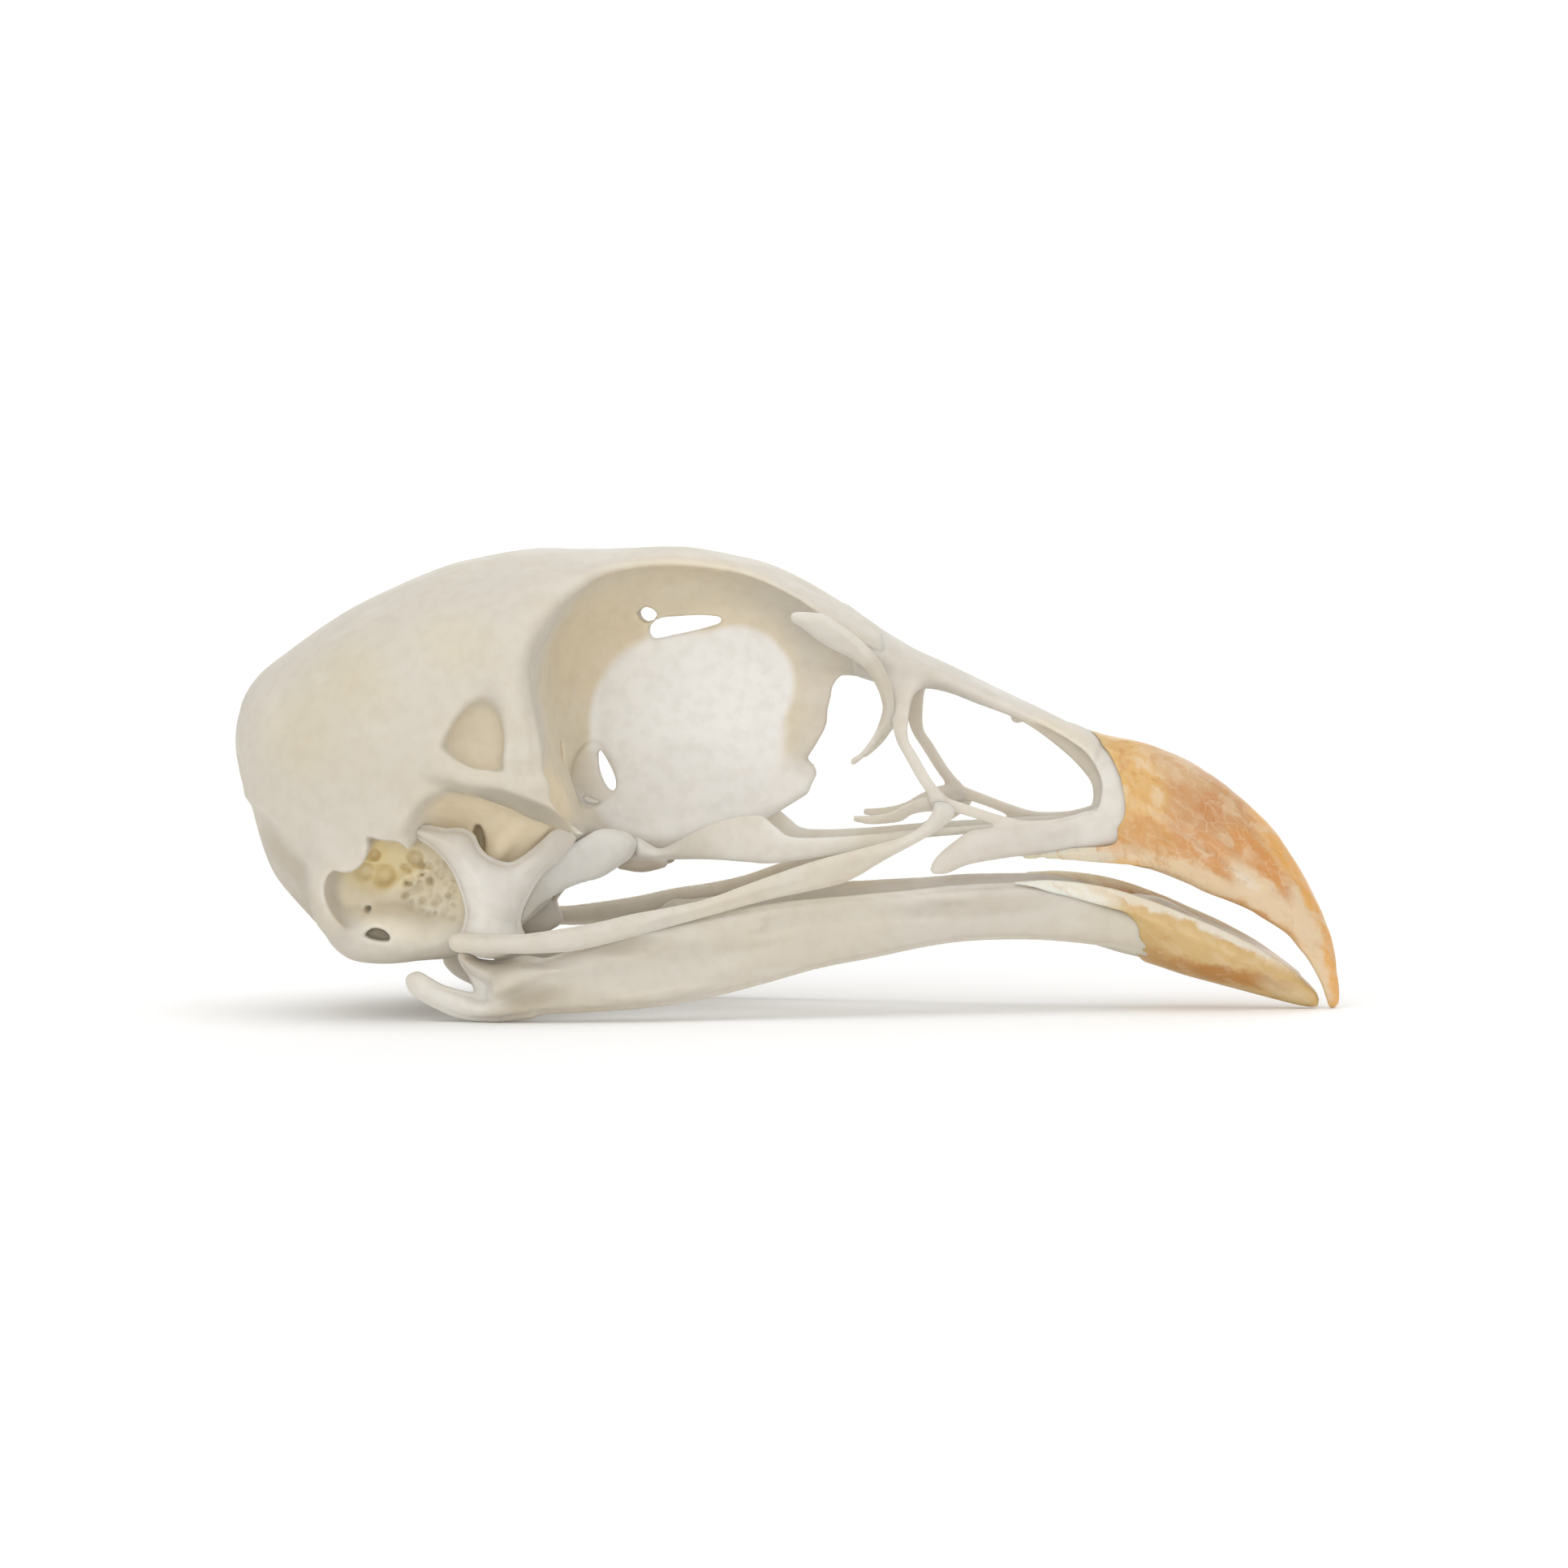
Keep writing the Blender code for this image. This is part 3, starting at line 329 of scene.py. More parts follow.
SHEATH_REAR = [(14.6, 14.8), (14.75, 13.85), (15.25, 13.35), (15.85, 12.8), (16.25, 12.05), (16.6, 11.2),
               (16.85, 10.2), (16.75, 9.5), (16.4, 9.05), (16.4, 8.55), (16.0, 8.22), (14.4, 8.16),
               (12.9, 8.06), (11.0, 8.0), (8.0, 9.0), (9.0, 15.5)]
PALATE_GROOVE = [(11.0, 0.0, 7.1, 1.5), (16.0, 0.0, 7.0, 1.8), (19.0, 0.0, 6.2, 1.6),
                 (22.0, 0.0, 4.7, 1.25), (24.2, 0.0, 3.2, 0.8), (25.3, 0.0, 2.0, 0.4)]
TOMIUM = [
    (11.45, 3.2, 7.8, 11.55, 3.1, 7.62, 0.07),
    (12.6, 3.12, 7.95, 12.6, 3.05, 7.58, 0.1),
    (13.8, 3.0, 8.05, 13.8, 3.0, 7.56, 0.12),
    (15.1, 2.92, 8.1, 15.1, 2.96, 7.5, 0.14),
    (16.2, 2.88, 8.1, 16.2, 2.9, 7.42, 0.2),
    (17.8, 2.6, 7.6, 17.6, 2.62, 7.3, 0.2),
    (19.2, 2.3, 7.3, 19.0, 2.3, 7.1, 0.1),
]

# Lower jaw, one side
RAMUS = {
    "outline": [(-14.3, 1.9), (-13.4, 2.7), (-12.2, 3.0), (-11.0, 3.25), (-9.6, 3.75), (-8.2, 4.15),
                (-7.5, 4.35), (-7.1, 4.7), (-6.6, 4.87), (-5.8, 4.87), (-4.45, 5.05), (-2.5, 5.35),
                (-0.8, 5.6), (1.5, 5.86), (3.4, 5.97), (6.0, 6.12), (8.4, 6.34), (11.0, 6.45),
                (12.5, 6.38), (14.4, 6.0), (16.6, 5.3), (19.0, 4.4), (19.0, 2.6), (17.2, 2.92),
                (15.3, 3.24), (13.1, 3.5), (11.1, 3.62), (8.9, 3.57), (6.7, 3.28), (4.2, 2.8), (1.5, 2.3),
                (-1.5, 1.5), (-5.25, 0.75), (-9.0, 0.48), (-11.2, 0.41), (-12.3, 0.21), (-13.3, 0.08),
                (-14.3, 0.3)],
    "side": [(-14.3, 7.7), (-12.2, 8.0), (-9.6, 8.05), (-7.0, 7.8), (-4.4, 7.25), (-0.8, 6.35), (3.4, 5.1),
             (7.4, 4.0), (11.2, 3.05), (14.4, 2.4), (16.6, 1.8), (19.0, 1.2)],
    "thick": [(-14.3, 0.85), (-12.2, 0.75), (-9.6, 0.62), (-4.4, 0.6), (3.4, 0.66), (11.2, 0.72),
              (14.4, 0.74), (16.6, 0.68), (19.0, 0.7)],
    "radius": 1.0, "edge": 0.22, "lean": (0.06, 3.0),
}
JAW_MARKS = [
    (0.28, 0.8, [(-2.4, 7.2, 4.5), (1.0, 6.4, 5.1), (4.0, 5.6, 5.3), (7.4, 4.6, 5.4), (11.5, 3.4, 5.4)]),
    (-0.18, 0.6, [(-10.6, 8.8, 0.95), (-7.0, 8.5, 1.15), (-4.2, 7.9, 1.55), (-0.8, 7.2, 2.2)]),
    (0.22, 1.1, [(-10.6, 8.8, 2.0), (-7.0, 8.45, 2.5), (-4.2, 7.85, 3.0), (0.6, 6.7, 3.8)]),
    (-0.35, 0.8, [(-14.6, 8.6, 0.9), (-13.4, 8.75, 1.9), (-12.3, 8.8, 2.45), (-9.4, 8.7, 2.7)]),
    (0.38, 0.8, [(-14.2, 8.75, 0.9), (-12.9, 8.8, 1.15), (-11.4, 8.8, 1.4), (-9.4, 8.75, 1.6)]),
    (0.32, 0.8, [(-9.2, 8.6, 3.4), (-7.0, 8.4, 3.8), (-4.8, 8.1, 3.95)]),
    (0.16, 0.5, [(-2.4, 7.3, 4.0), (0.1, 6.75, 4.6), (2.8, 6.1, 5.3)]),
]
LOWER_CORE = [
    (14.4, 5.6, 14.6, 3.3, 2.3, 0.62),
    (16.6, 5.4, 16.4, 2.72, 2.5, 0.62),
    (18.4, 4.8, 18.1, 2.3, 2.3, 0.62),
    (21.0, 3.6, 20.6, 1.75, 1.7, 0.62),
    (23.4, 2.3, 23.1, 1.2, 0.7, 0.62),
]
RETROARTICULAR = {
    "outline": [(-14.35, 1.25), (-15.3, 1.5), (-16.45, 1.82), (-17.4, 2.35), (-17.8, 2.42), (-18.25, 2.15),
                (-18.2, 1.65), (-17.7, 1.1), (-16.9, 0.65), (-15.85, 0.22), (-14.75, 0.0), (-13.65, 0.02),
                (-13.0, 0.15), (-11.8, 0.45), (-12.2, 1.6), (-13.4, 1.5)],
    "side": [(-18.3, 7.1), (-16.0, 7.35), (-14.0, 7.6), (-11.8, 7.9)],
    "thick": [(-18.3, 0.32), (-16.0, 0.5), (-14.0, 0.95), (-11.8, 0.9)],
    "radius": 0.6, "edge": 0.22,
}
ARTICULAR = {
    "outline": [(-15.72, 3.28), (-15.55, 2.7), (-15.1, 2.15), (-14.3, 1.65), (-14.0, 0.9), (-13.0, 0.3),
                (-11.6, 0.5), (-11.3, 1.8), (-11.4, 2.9), (-12.2, 3.25), (-13.8, 3.1), (-15.2, 3.35)],
    "side": [(-15.8, 7.2), (-13.5, 7.5), (-11.3, 7.9)],
    "thick": [(-15.8, 0.8), (-14.5, 1.25), (-13.0, 1.2), (-11.3, 0.7)],
    "radius": 1.0, "edge": 0.22,
}
JAW_CUP = ((-13.9, 7.3, 3.85), (1.5, 1.5, 0.8))
MEDIAL_PROCESS = [(-14.15, 6.8, 1.9, 0.9), (-15.0, 5.2, 2.35, 0.55), (-15.65, 4.1, 2.9, 0.3)]
LOWER_SHEATH = [
    (14.6, 5.5, 15.0, 3.05, 2.5, 0.62),
    (17.8, 5.55, 17.4, 2.3, 2.62, 0.62),
    (19.6, 4.75, 19.2, 1.72, 2.35, 0.62),
    (21.6, 3.85, 21.0, 1.2, 1.95, 0.62),
    (23.4, 2.9, 22.9, 0.65, 1.45, 0.62),
    (24.9, 1.75, 24.5, 0.22, 0.90, 0.6),
    (25.8, 0.85, 25.5, 0.05, 0.5, 0.55),
    (26.02, 0.4, 25.95, 0.06, 0.15, 0.5),
]
LOWER_REAR = [(9.0, 1.5), (17.0, 1.8), (17.05, 2.9), (17.35, 3.7), (17.35, 4.3), (16.9, 4.75), (16.1, 5.1),
              (15.0, 5.38), (13.8, 5.75), (12.5, 6.08), (11.4, 6.35), (9.0, 6.4)]
LOWER_STRIP = [
    (11.4, 3.5, 6.43, 11.5, 3.55, 6.36, 0.09),
    (12.5, 3.3, 6.46, 12.5, 3.42, 6.15, 0.13),
    (14.0, 3.05, 6.36, 13.9, 3.2, 5.85, 0.15),
    (15.5, 2.8, 6.1, 15.2, 2.95, 5.5, 0.17),
    (17.5, 2.45, 5.5, 17.2, 2.65, 4.9, 0.18),
    (19.5, 2.12, 4.68, 19.2, 2.35, 4.0, 0.17),
    (21.5, 1.72, 3.78, 21.1, 1.95, 3.2, 0.16),
    (23.4, 1.15, 2.72, 23.0, 1.4, 2.2, 0.15),
    (24.9, 0.6, 1.6, 24.5, 0.85, 1.15, 0.13),
]
CHIN_NOTCH = ((13.6, 0.0, 6.9), (3.8, 2.0, 2.7))
LOWER_TROUGH = ((18.9, 0.0, 6.0), (6.6, 1.9, 1.35), 27.0)

# Bones of the hinge, palate, brow and cheek
QUADRATE = {
    "outline": [(-17.75, 9.35), (-17.45, 9.72), (-16.85, 9.72), (-16.05, 9.55), (-15.3, 9.55),
                (-14.7, 9.25), (-14.45, 8.7), (-14.05, 8.2), (-13.15, 7.8), (-12.45, 8.05), (-11.6, 8.75),
                (-10.8, 9.35), (-9.9, 8.9), (-10.6, 7.85), (-11.45, 7.15), (-12.05, 6.2), (-12.45, 5.25),
                (-12.5, 4.5), (-12.3, 3.75), (-13.5, 3.5), (-14.85, 3.6), (-15.5, 4.05), (-15.3, 4.6),
                (-15.15, 5.45), (-15.4, 6.5), (-15.85, 7.5), (-16.6, 8.45), (-17.35, 9.0)],
    "side": [(-18.2, 8.8), (-16.0, 8.5), (-14.0, 8.0), (-12.0, 7.2), (-9.8, 6.0)],
    "thick": [(-18.2, 0.65), (-16.0, 0.8), (-14.0, 0.95), (-12.0, 0.55), (-9.8, 0.2)],
    "radius": 1.1, "edge": 0.18,
}
QUADRATE_FOOT = ((-13.95, 7.5, 4.0), (1.5, 1.7, 0.92))
PTERYGOID = {
    "outline": [(-11.5, 7.7), (-10.5, 8.35), (-9.7, 8.8), (-9.1, 9.1), (-8.55, 9.1), (-7.85, 8.9),
                (-7.5, 8.55), (-7.4, 8.15), (-7.7, 7.6), (-8.2, 7.25), (-9.15, 6.65), (-10.25, 6.4),
                (-11.15, 5.95), (-11.9, 5.5), (-12.5, 4.85), (-12.7, 4.95), (-12.5, 6.0), (-12.1, 7.0)],
    "side": [(-12.8, 6.5), (-10.0, 4.0), (-7.0, 1.6)],
    "thick": [(-12.8, 0.4), (-10.0, 0.35), (-8.5, 0.55), (-7.0, 0.6)],
    "radius": 0.7,
}
PALATINE = {
    "outline": [(-7.5, 8.6), (-6.6, 8.15), (-6.05, 8.1), (-4.95, 8.65), (-3.4, 9.4), (-1.35, 9.8),
                (-0.45, 9.25), (0.2, 8.75), (1.4, 8.65), (3.65, 8.75), (6.5, 9.0), (10.5, 9.25),
                (13.6, 9.35), (13.6, 9.1), (10.5, 8.85), (6.5, 8.55), (4.7, 8.15), (2.7, 7.85),
                (1.0, 7.58), (-0.6, 7.38), (-1.95, 7.45), (-3.85, 7.55), (-6.05, 7.5), (-7.55, 7.55)],
    "side": [(-7.6, 1.5), (-4.3, 2.4), (-1.2, 3.1), (1.5, 3.05), (4.65, 2.8), (13.6, 1.9)],
    "thick": [(-7.6, 0.5), (-5.5, 0.3), (-3.0, 0.17), (1.0, 0.18), (13.6, 0.2)],
    "radius": 0.4,
}
PALATINE_HEEL = [(-8.2, 1.6, 7.3, 0.3), (-7.2, 1.5, 7.25, 0.4), (-6.2, 1.7, 7.35, 0.28)]
LACRIMAL = {
    "outline": [(0.65, 19.7), (0.9, 19.85), (1.45, 19.85), (2.25, 19.75), (2.75, 19.45), (3.55, 18.85),
                (4.3, 18.15), (4.95, 17.4), (5.35, 16.55), (5.55, 15.6), (5.55, 14.3), (4.9, 13.7),
                (4.25, 12.85), (3.45, 12.2), (3.35, 12.5), (3.85, 12.85), (4.55, 13.8), (4.95, 14.85),
                (4.95, 15.35), (4.75, 16.05), (4.25, 16.95), (3.5, 17.55), (2.35, 18.15), (1.05, 19.15),
                (0.7, 19.35)],
    "side": [(0.0, 4.6), (3.0, 4.65), (6.0, 4.6)],
    "thick": [(0.0, 0.22), (3.0, 0.3), (6.0, 0.26)],
    "radius": 0.5, "lean": (0.3, 18.0),
}
LACRIMAL_MARKS = [(-0.08, 0.3, [(1.2, 5.3, 19.7), (3.3, 5.1, 18.8), (4.6, 4.7, 17.5), (5.2, 4.1, 15.8)])]
JUGAL = {
    "outline": [(-15.85, 4.2), (-15.45, 4.47), (-14.0, 4.42), (-12.3, 4.42), (-10.45, 4.65), (-8.6, 4.95),
                (-6.8, 5.35), (-4.95, 5.65), (-3.15, 6.05), (-1.3, 6.7), (1.7, 7.7), (4.3, 8.35),
                (6.1, 8.85), (7.0, 9.4), (7.45, 9.95), (7.65, 10.5), (8.3, 10.4), (8.6, 9.95), (8.1, 9.35),
                (7.0, 8.65), (5.2, 7.7), (3.55, 6.75), (2.1, 6.35), (-0.45, 5.85), (-3.15, 5.15),
                (-6.8, 4.2), (-9.35, 3.6), (-11.2, 3.45), (-13.2, 3.45), (-15.2, 3.5), (-15.75, 3.7)],
    "side": [(-16.0, 9.35), (-12.3, 9.3), (-9.9, 9.0), (-6.8, 8.4), (-3.2, 7.5), (-0.5, 6.7), (2.0, 6.1),
             (4.5, 5.4), (6.5, 5.05), (8.6, 4.6)],
    "thick": [(-16.0, 0.36), (-12.0, 0.38), (-6.8, 0.34), (4.5, 0.3), (8.6, 0.28)],
    "radius": 0.45,
}
JUGAL_MARKS = [
    (0.16, 0.34, [(-8.0, 9.0, 4.1), (-6.0, 8.6, 4.65), (-3.15, 7.85, 5.42), (0.15, 6.9, 6.32),
                  (3.6, 6.1, 7.5)]),
]


def flow(rows, steps, closed=False):
    """Rows of numbers joined smoothly, each row kept and steps - 1 new ones between two."""
    rows = np.array(rows, float)
    if closed:
        track = np.vstack([rows[-1:], rows, rows[:2]])
    else:
        track = np.vstack([2 * rows[0] - rows[1], rows, 2 * rows[-1] - rows[-2]])
    out = []
    for i in range(1, len(track) - 2):
        before, start, end, after = track[i - 1:i + 3]
        bend = 2 * before - 5 * start + 4 * end - after
        swing = 3 * start - before - 3 * end + after
        for t in np.arange(steps) / steps:
            out.append(0.5 * (2 * start + (end - before) * t + bend * t * t + swing * t ** 3))
    if not closed:
        out.append(rows[-1])
    return np.array(out)


def soft_min(a, b, blend):
    """The smaller of two distances, rounded where they are alike."""
    near = np.maximum(blend - np.abs(a - b), 0.0) / blend
    return np.minimum(a, b) - near * near * blend * 0.25


def outline_distance(points, x, z):
    """Distance to a closed outline in the side view, below zero inside it."""
    best = np.full(np.broadcast(x, z).shape, ENDLESS)
    inside = np.zeros(best.shape, bool)
    for a, b in zip(points, np.roll(points, -1, axis=0)):
        run, rise = b[0] - a[0], b[1] - a[1]
        share = np.clip(((x - a[0]) * run + (z - a[1]) * rise) / (run * run + rise * rise), 0, 1)
        best = np.minimum(best, (x - a[0] - share * run) ** 2 + (z - a[1] - share * rise) ** 2)
        if rise != 0:
            inside ^= ((a[1] > z) != (b[1] > z)) & (x < a[0] + (z - a[1]) * run / rise)
    return np.where(inside, -1.0, 1.0) * np.sqrt(best)


def levelled(value, x):
    """A number field over a grid turned into distances near its zero surface."""
    slopes = np.gradient(value, float(x[1, 0, 0] - x[0, 0, 0]))
    steep = np.sqrt(sum(slope * slope for slope in slopes))
    return value / np.maximum(steep, LEAST_SLOPE)


def box(outline, low, high):
    """Lowest and highest corner round an outline in the side view, between two distances from the middle."""
    (low_x, low_z), (high_x, high_z) = outline.min(axis=0), outline.max(axis=0)
    return np.array([low_x, low, low_z]), np.array([high_x, high, high_z])


# A bit is a form's lowest corner, its highest corner, and the distance to it, over grids of x, side and z


def ball(centre, radii, turn=0.0):
    """An ellipsoid, turned about Y by so many degrees."""
    reach = max(radii)
    cosine, sine = math.cos(math.radians(turn)), math.sin(math.radians(turn))

    def distance(x, y, z):
        dx, dy, dz = x - centre[0], y - centre[1], z - centre[2]
        u, v, w = (cosine * dx - sine * dz) / radii[0], dy / radii[1], (sine * dx + cosine * dz) / radii[2]
        size = np.sqrt(u * u + v * v + w * w)
        slope = np.sqrt((u / radii[0]) ** 2 + (v / radii[1]) ** 2 + (w / radii[2]) ** 2)
        return size * (size - 1.0) / np.maximum(slope, 1e-6)
    return [(np.array(centre) - reach, np.array(centre) + reach, distance)]


def to_line(x, y, z, start, end):
    """How far along a straight line the nearest place is, from 0 to 1, and the distance to it."""
    way = end - start
    px, py, pz = x - start[0], y - start[1], z - start[2]
    share = np.clip((px * way[0] + py * way[1] + pz * way[2]) / (way @ way), 0, 1)
    away = (px - share * way[0]) ** 2 + (py - share * way[1]) ** 2 + (pz - share * way[2]) ** 2
    return share, np.sqrt(away)


def rod(rows, steps=3):
    """A round bar along x, distance from the middle, z, with its own radius at each row."""
    bits = []
    track = flow(rows, steps) if len(rows) > 2 else np.array(rows, float)
    for start, end in zip(track, track[1:]):
        def distance(x, y, z, start=start, end=end):
            share, gap = to_line(x, y, z, start[:3], end[:3])
            return gap - (start[3] + share * (end[3] - start[3]))
        thick = max(start[3], end[3], 0.05)
        bits.append((np.minimum(start, end)[:3] - thick, np.maximum(start, end)[:3] + thick, distance))
    return bits


def leaf(corners, thick):
    """A flat three-cornered piece of bone, with its half thickness at each corner."""
    corners = np.array(corners, float)
    first, most = corners[0], max(thick)
    one, two = corners[1] - first, corners[2] - first
    normal = np.cross(one, two)
    area = float(np.linalg.norm(normal))
    one_one, two_two, one_two = one @ one, two @ two, one @ two
    spread = one_one * two_two - one_two * one_two

    def distance(x, y, z):
        px, py, pz = x - first[0], y - first[1], z - first[2]
        on_one = px * one[0] + py * one[1] + pz * one[2]
        on_two = px * two[0] + py * two[1] + pz * two[2]
        # How far along each of the first corner's two sides a place is, as a share
        v = (two_two * on_one - one_two * on_two) / spread
        w = (one_one * on_two - one_two * on_one) / spread
        flat = np.abs(px * normal[0] + py * normal[1] + pz * normal[2]) / area
        half = thick[0] + v * (thick[1] - thick[0]) + w * (thick[2] - thick[0])
        best = np.where((v >= 0) & (w >= 0) & (v + w <= 1), flat - half, ENDLESS)
        for i, j in ((0, 1), (1, 2), (2, 0)):
            share, gap = to_line(x, y, z, corners[i], corners[j])
            best = np.minimum(best, gap - (thick[i] + share * (thick[j] - thick[i])))
        return best
    return (corners.min(0) - most, corners.max(0) + most, distance)


def blade(rows, steps=3, edge=0.6):
    """A flattened bar between an upper and a lower edge, thinner at the edges than along its middle."""
    bits = []
    track = flow(rows, steps)
    for start, end in zip(track, track[1:]):
        thick, last_thick = start[6], end[6]
        middle, last_middle = (start[:3] + start[3:6]) / 2, (end[:3] + end[3:6]) / 2
        for side, last_side in ((start[:3], end[:3]), (start[3:6], end[3:6])):
            bits.append(leaf((middle, last_middle, side), (thick, last_thick, thick * edge)))
            bits.append(leaf((last_middle, last_side, side), (last_thick, last_thick * edge, thick * edge)))
    return bits


def loft(rows, steps, power=2.2, low_power=2.2, rounding=0.5):
    """A form with rounded cross sections between a top and a base line, each row's top and base joined.

    The powers set how square a section's upper and lower part are: 2 is an ellipse, more is squarer.
    """
    track = flow(rows, steps)
    edges = np.vstack([track[:, :2], track[:, 2:4]])

    def distance(x, y, z):
        px, pz = x[:, 0, :], z[:, 0, :]
        sides = []
        for top_x, top_z, low_x, low_z in track[:, :4]:
            dx, dz = top_x - low_x, top_z - low_z
            sides.append(((px - low_x) * dz - (pz - low_z) * dx) / math.hypot(dx, dz))
        place = np.where(sides[0] < 0, 0.0, len(track) - 1.0)
        for i in range(len(sides) - 1, 0, -1):
            here = (sides[i - 1] >= 0) & (sides[i] < 0)
            place = np.where(here, i - 1 + sides[i - 1] / (sides[i - 1] - sides[i] + 1e-9), place)
        row = np.arange(len(track))
        top_x, top_z, low_x, low_z, half, belly = (np.interp(place, row, track[:, k]) for k in range(6))
        dx, dz = top_x - low_x, top_z - low_z
        share = ((px - low_x) * dx + (pz - low_z) * dz) / (dx * dx + dz * dz)
        above = share > belly
        rise = np.abs(share - belly) / np.where(above, 1 - belly, belly)
        bend = np.where(above, power, low_power(px) if callable(low_power) else low_power)[:, None, :]
        value = ((np.abs(y) / half[:, None, :]) ** bend + rise[:, None, :] ** bend) ** (1 / bend) - 1.0
        ends = np.maximum(-sides[0], sides[-1])[:, None, :]
        return -soft_min(-levelled(value, x), -ends, rounding)
    return [(*box(edges, 0.0, track[:, 4].max()), distance)]


def slab(outline, high, soft=0.1, low=-1.0, ragged=0.0, steps=3):
    """A plate with this outline in the side view, between two distances from the middle."""
    points = flow(outline, steps, True)

    def distance(x, y, z):
        flat = outline_distance(points, x[:, 0, :], z[:, 0, :])[:, None, :] + soft
        if ragged:
            flat = flat + ragged * ripple(x, y, z, *RAGGED_RIPPLE)
        deep = np.abs(y - low / 2 - high / 2) - (high - low) / 2 + soft
        return (np.sqrt(np.maximum(flat, 0) ** 2 + np.maximum(deep, 0) ** 2)
                + np.minimum(np.maximum(flat, deep), 0) - soft)
    return [(*box(points, low, high), distance)]


def pillow(outline, side, thick, radius, edge=0.12, lean=(0.0, 0.0)):
    """A flat bone with this outline in the side view, thickest inside, its side and thickness set along x."""
    points = flow(outline, 3, True)
    side, thick = flow(side, 6), flow(thick, 6)

    def distance(x, y, z):
        px = x[:, 0, :]
        flat = outline_distance(points, px, z[:, 0, :])
        middle = (np.interp(px, side[:, 0], side[:, 1]) + lean[0] * (z[:, 0, :] - lean[1]))[:, None, :]
        half = np.interp(px, thick[:, 0], thick[:, 1])
        depth = np.clip(-(flat + edge) / radius, 0, 1)
        swell = np.maximum(half - edge, 0.02) * np.sqrt(1 - (1 - depth) ** 2)
        away = np.abs(y - middle) - swell[:, None, :]
        out = np.maximum(flat + edge, 0)[:, None, :]
        inside = np.minimum(np.maximum(flat[:, None, :], away), 0)
        return np.sqrt(out ** 2 + np.maximum(away, 0) ** 2) + inside - edge
    tips, most = lean[0] * (points[:, 1] - lean[1]), thick[:, 1].max()
    inner, outer = side[:, 1].min() + tips.min() - most, side[:, 1].max() + tips.max() + most
    return [(*box(points, inner, outer), distance)]


class Clay:
    """A block of space that a bone is shaped in."""

    def __init__(self, name):
        low, high, cell, self.most = BLOCKS[name]
        self.cell = cell
        self.axes = [np.arange(math.floor((b - a) / cell) + 1) * cell + a for a, b in zip(low, high)]
        self.field = np.full([len(axis) for axis in self.axes], FAR, np.float32)

    def window(self, low, high):
        """The cells between two corners, and their places."""
        cuts = []
        for axis, a, b in zip(self.axes, low, high):
            first = int(np.searchsorted(axis, a))
            last = int(np.searchsorted(axis, b))
            cuts.append(slice(max(0, first), min(len(axis), max(last, first + 2))))
        grids = np.meshgrid(*(axis[cut] for axis, cut in zip(self.axes, cuts)), indexing="ij", sparse=True)
        return tuple(cuts), grids

    def nearest(self, bits, reach):
        """The cells around some bits, and the distance there to the nearest bit."""
        low = np.min([bit[0] for bit in bits], axis=0) - reach
        high = np.max([bit[1] for bit in bits], axis=0) + reach
        cuts, grids = self.window(low, high)
        gap = np.full([cut.stop - cut.start for cut in cuts], FAR)
        for bit_low, bit_high, distance in bits:
            part, places = self.window(bit_low - reach, bit_high + reach)
            here = tuple(slice(p.start - c.start, p.stop - c.start) for p, c in zip(part, cuts))
            if all(p.stop > p.start for p in part):
                gap[here] = np.minimum(gap[here], distance(*places))
        return cuts, grids, gap

    def add(self, bits, blend=0.25):
        """The bits run into the bone, with a fillet."""
        cuts, _, gap = self.nearest(bits, REACH + blend)
        self.field[cuts] = soft_min(self.field[cuts], gap, blend)

    def carve(self, bits, blend=0.15):
        """The bits' space is taken away, with a rounded rim."""
        cuts, _, gap = self.nearest(bits, REACH + blend)
        self.field[cuts] = -soft_min(-self.field[cuts], gap, blend)

    def press(self, bits, depth, width):
        """A soft hollow along the bits, or a soft ridge where the depth is below zero."""
        cuts, _, gap = self.nearest(bits, width)
        fall = np.clip(1 - np.maximum(gap, 0) / width, 0, 1)
        self.field[cuts] += depth * fall * fall * (3 - 2 * fall)

    def wear(self, depth, wave, seed, bits=None, width=1.0):
        """Soft unevenness all over, or only around some bits."""
        if bits is None:
            grids = np.meshgrid(*self.axes, indexing="ij", sparse=True)
            self.field += (depth * ripple(*grids, wave, seed)).astype(np.float32)
            return
        cuts, grids, gap = self.nearest(bits, width)
        self.field[cuts] += depth * np.clip(-gap / width, 0, 1) * ripple(*grids, wave, seed)


def ripple(x, y, z, wave, seed):
    """A soft unevenness between -1 and 1: chance numbers this far apart, joined smoothly."""
    numbers = np.random.default_rng(seed).uniform(-1, 1, (RIPPLE_KNOTS,) * 3)
    for k, places in enumerate((x, y, z)):
        spot = places.ravel() / wave + RIPPLE_SHIFT
        knot = np.floor(spot).astype(int)
        share = spot - knot
        share = (share * share * (3 - 2 * share)).reshape([-1 if i == k else 1 for i in range(3)])
        first = np.take(numbers, knot, k, mode="wrap")
        numbers = first + (np.take(numbers, knot + 1, k, mode="wrap") - first) * share
    return numbers


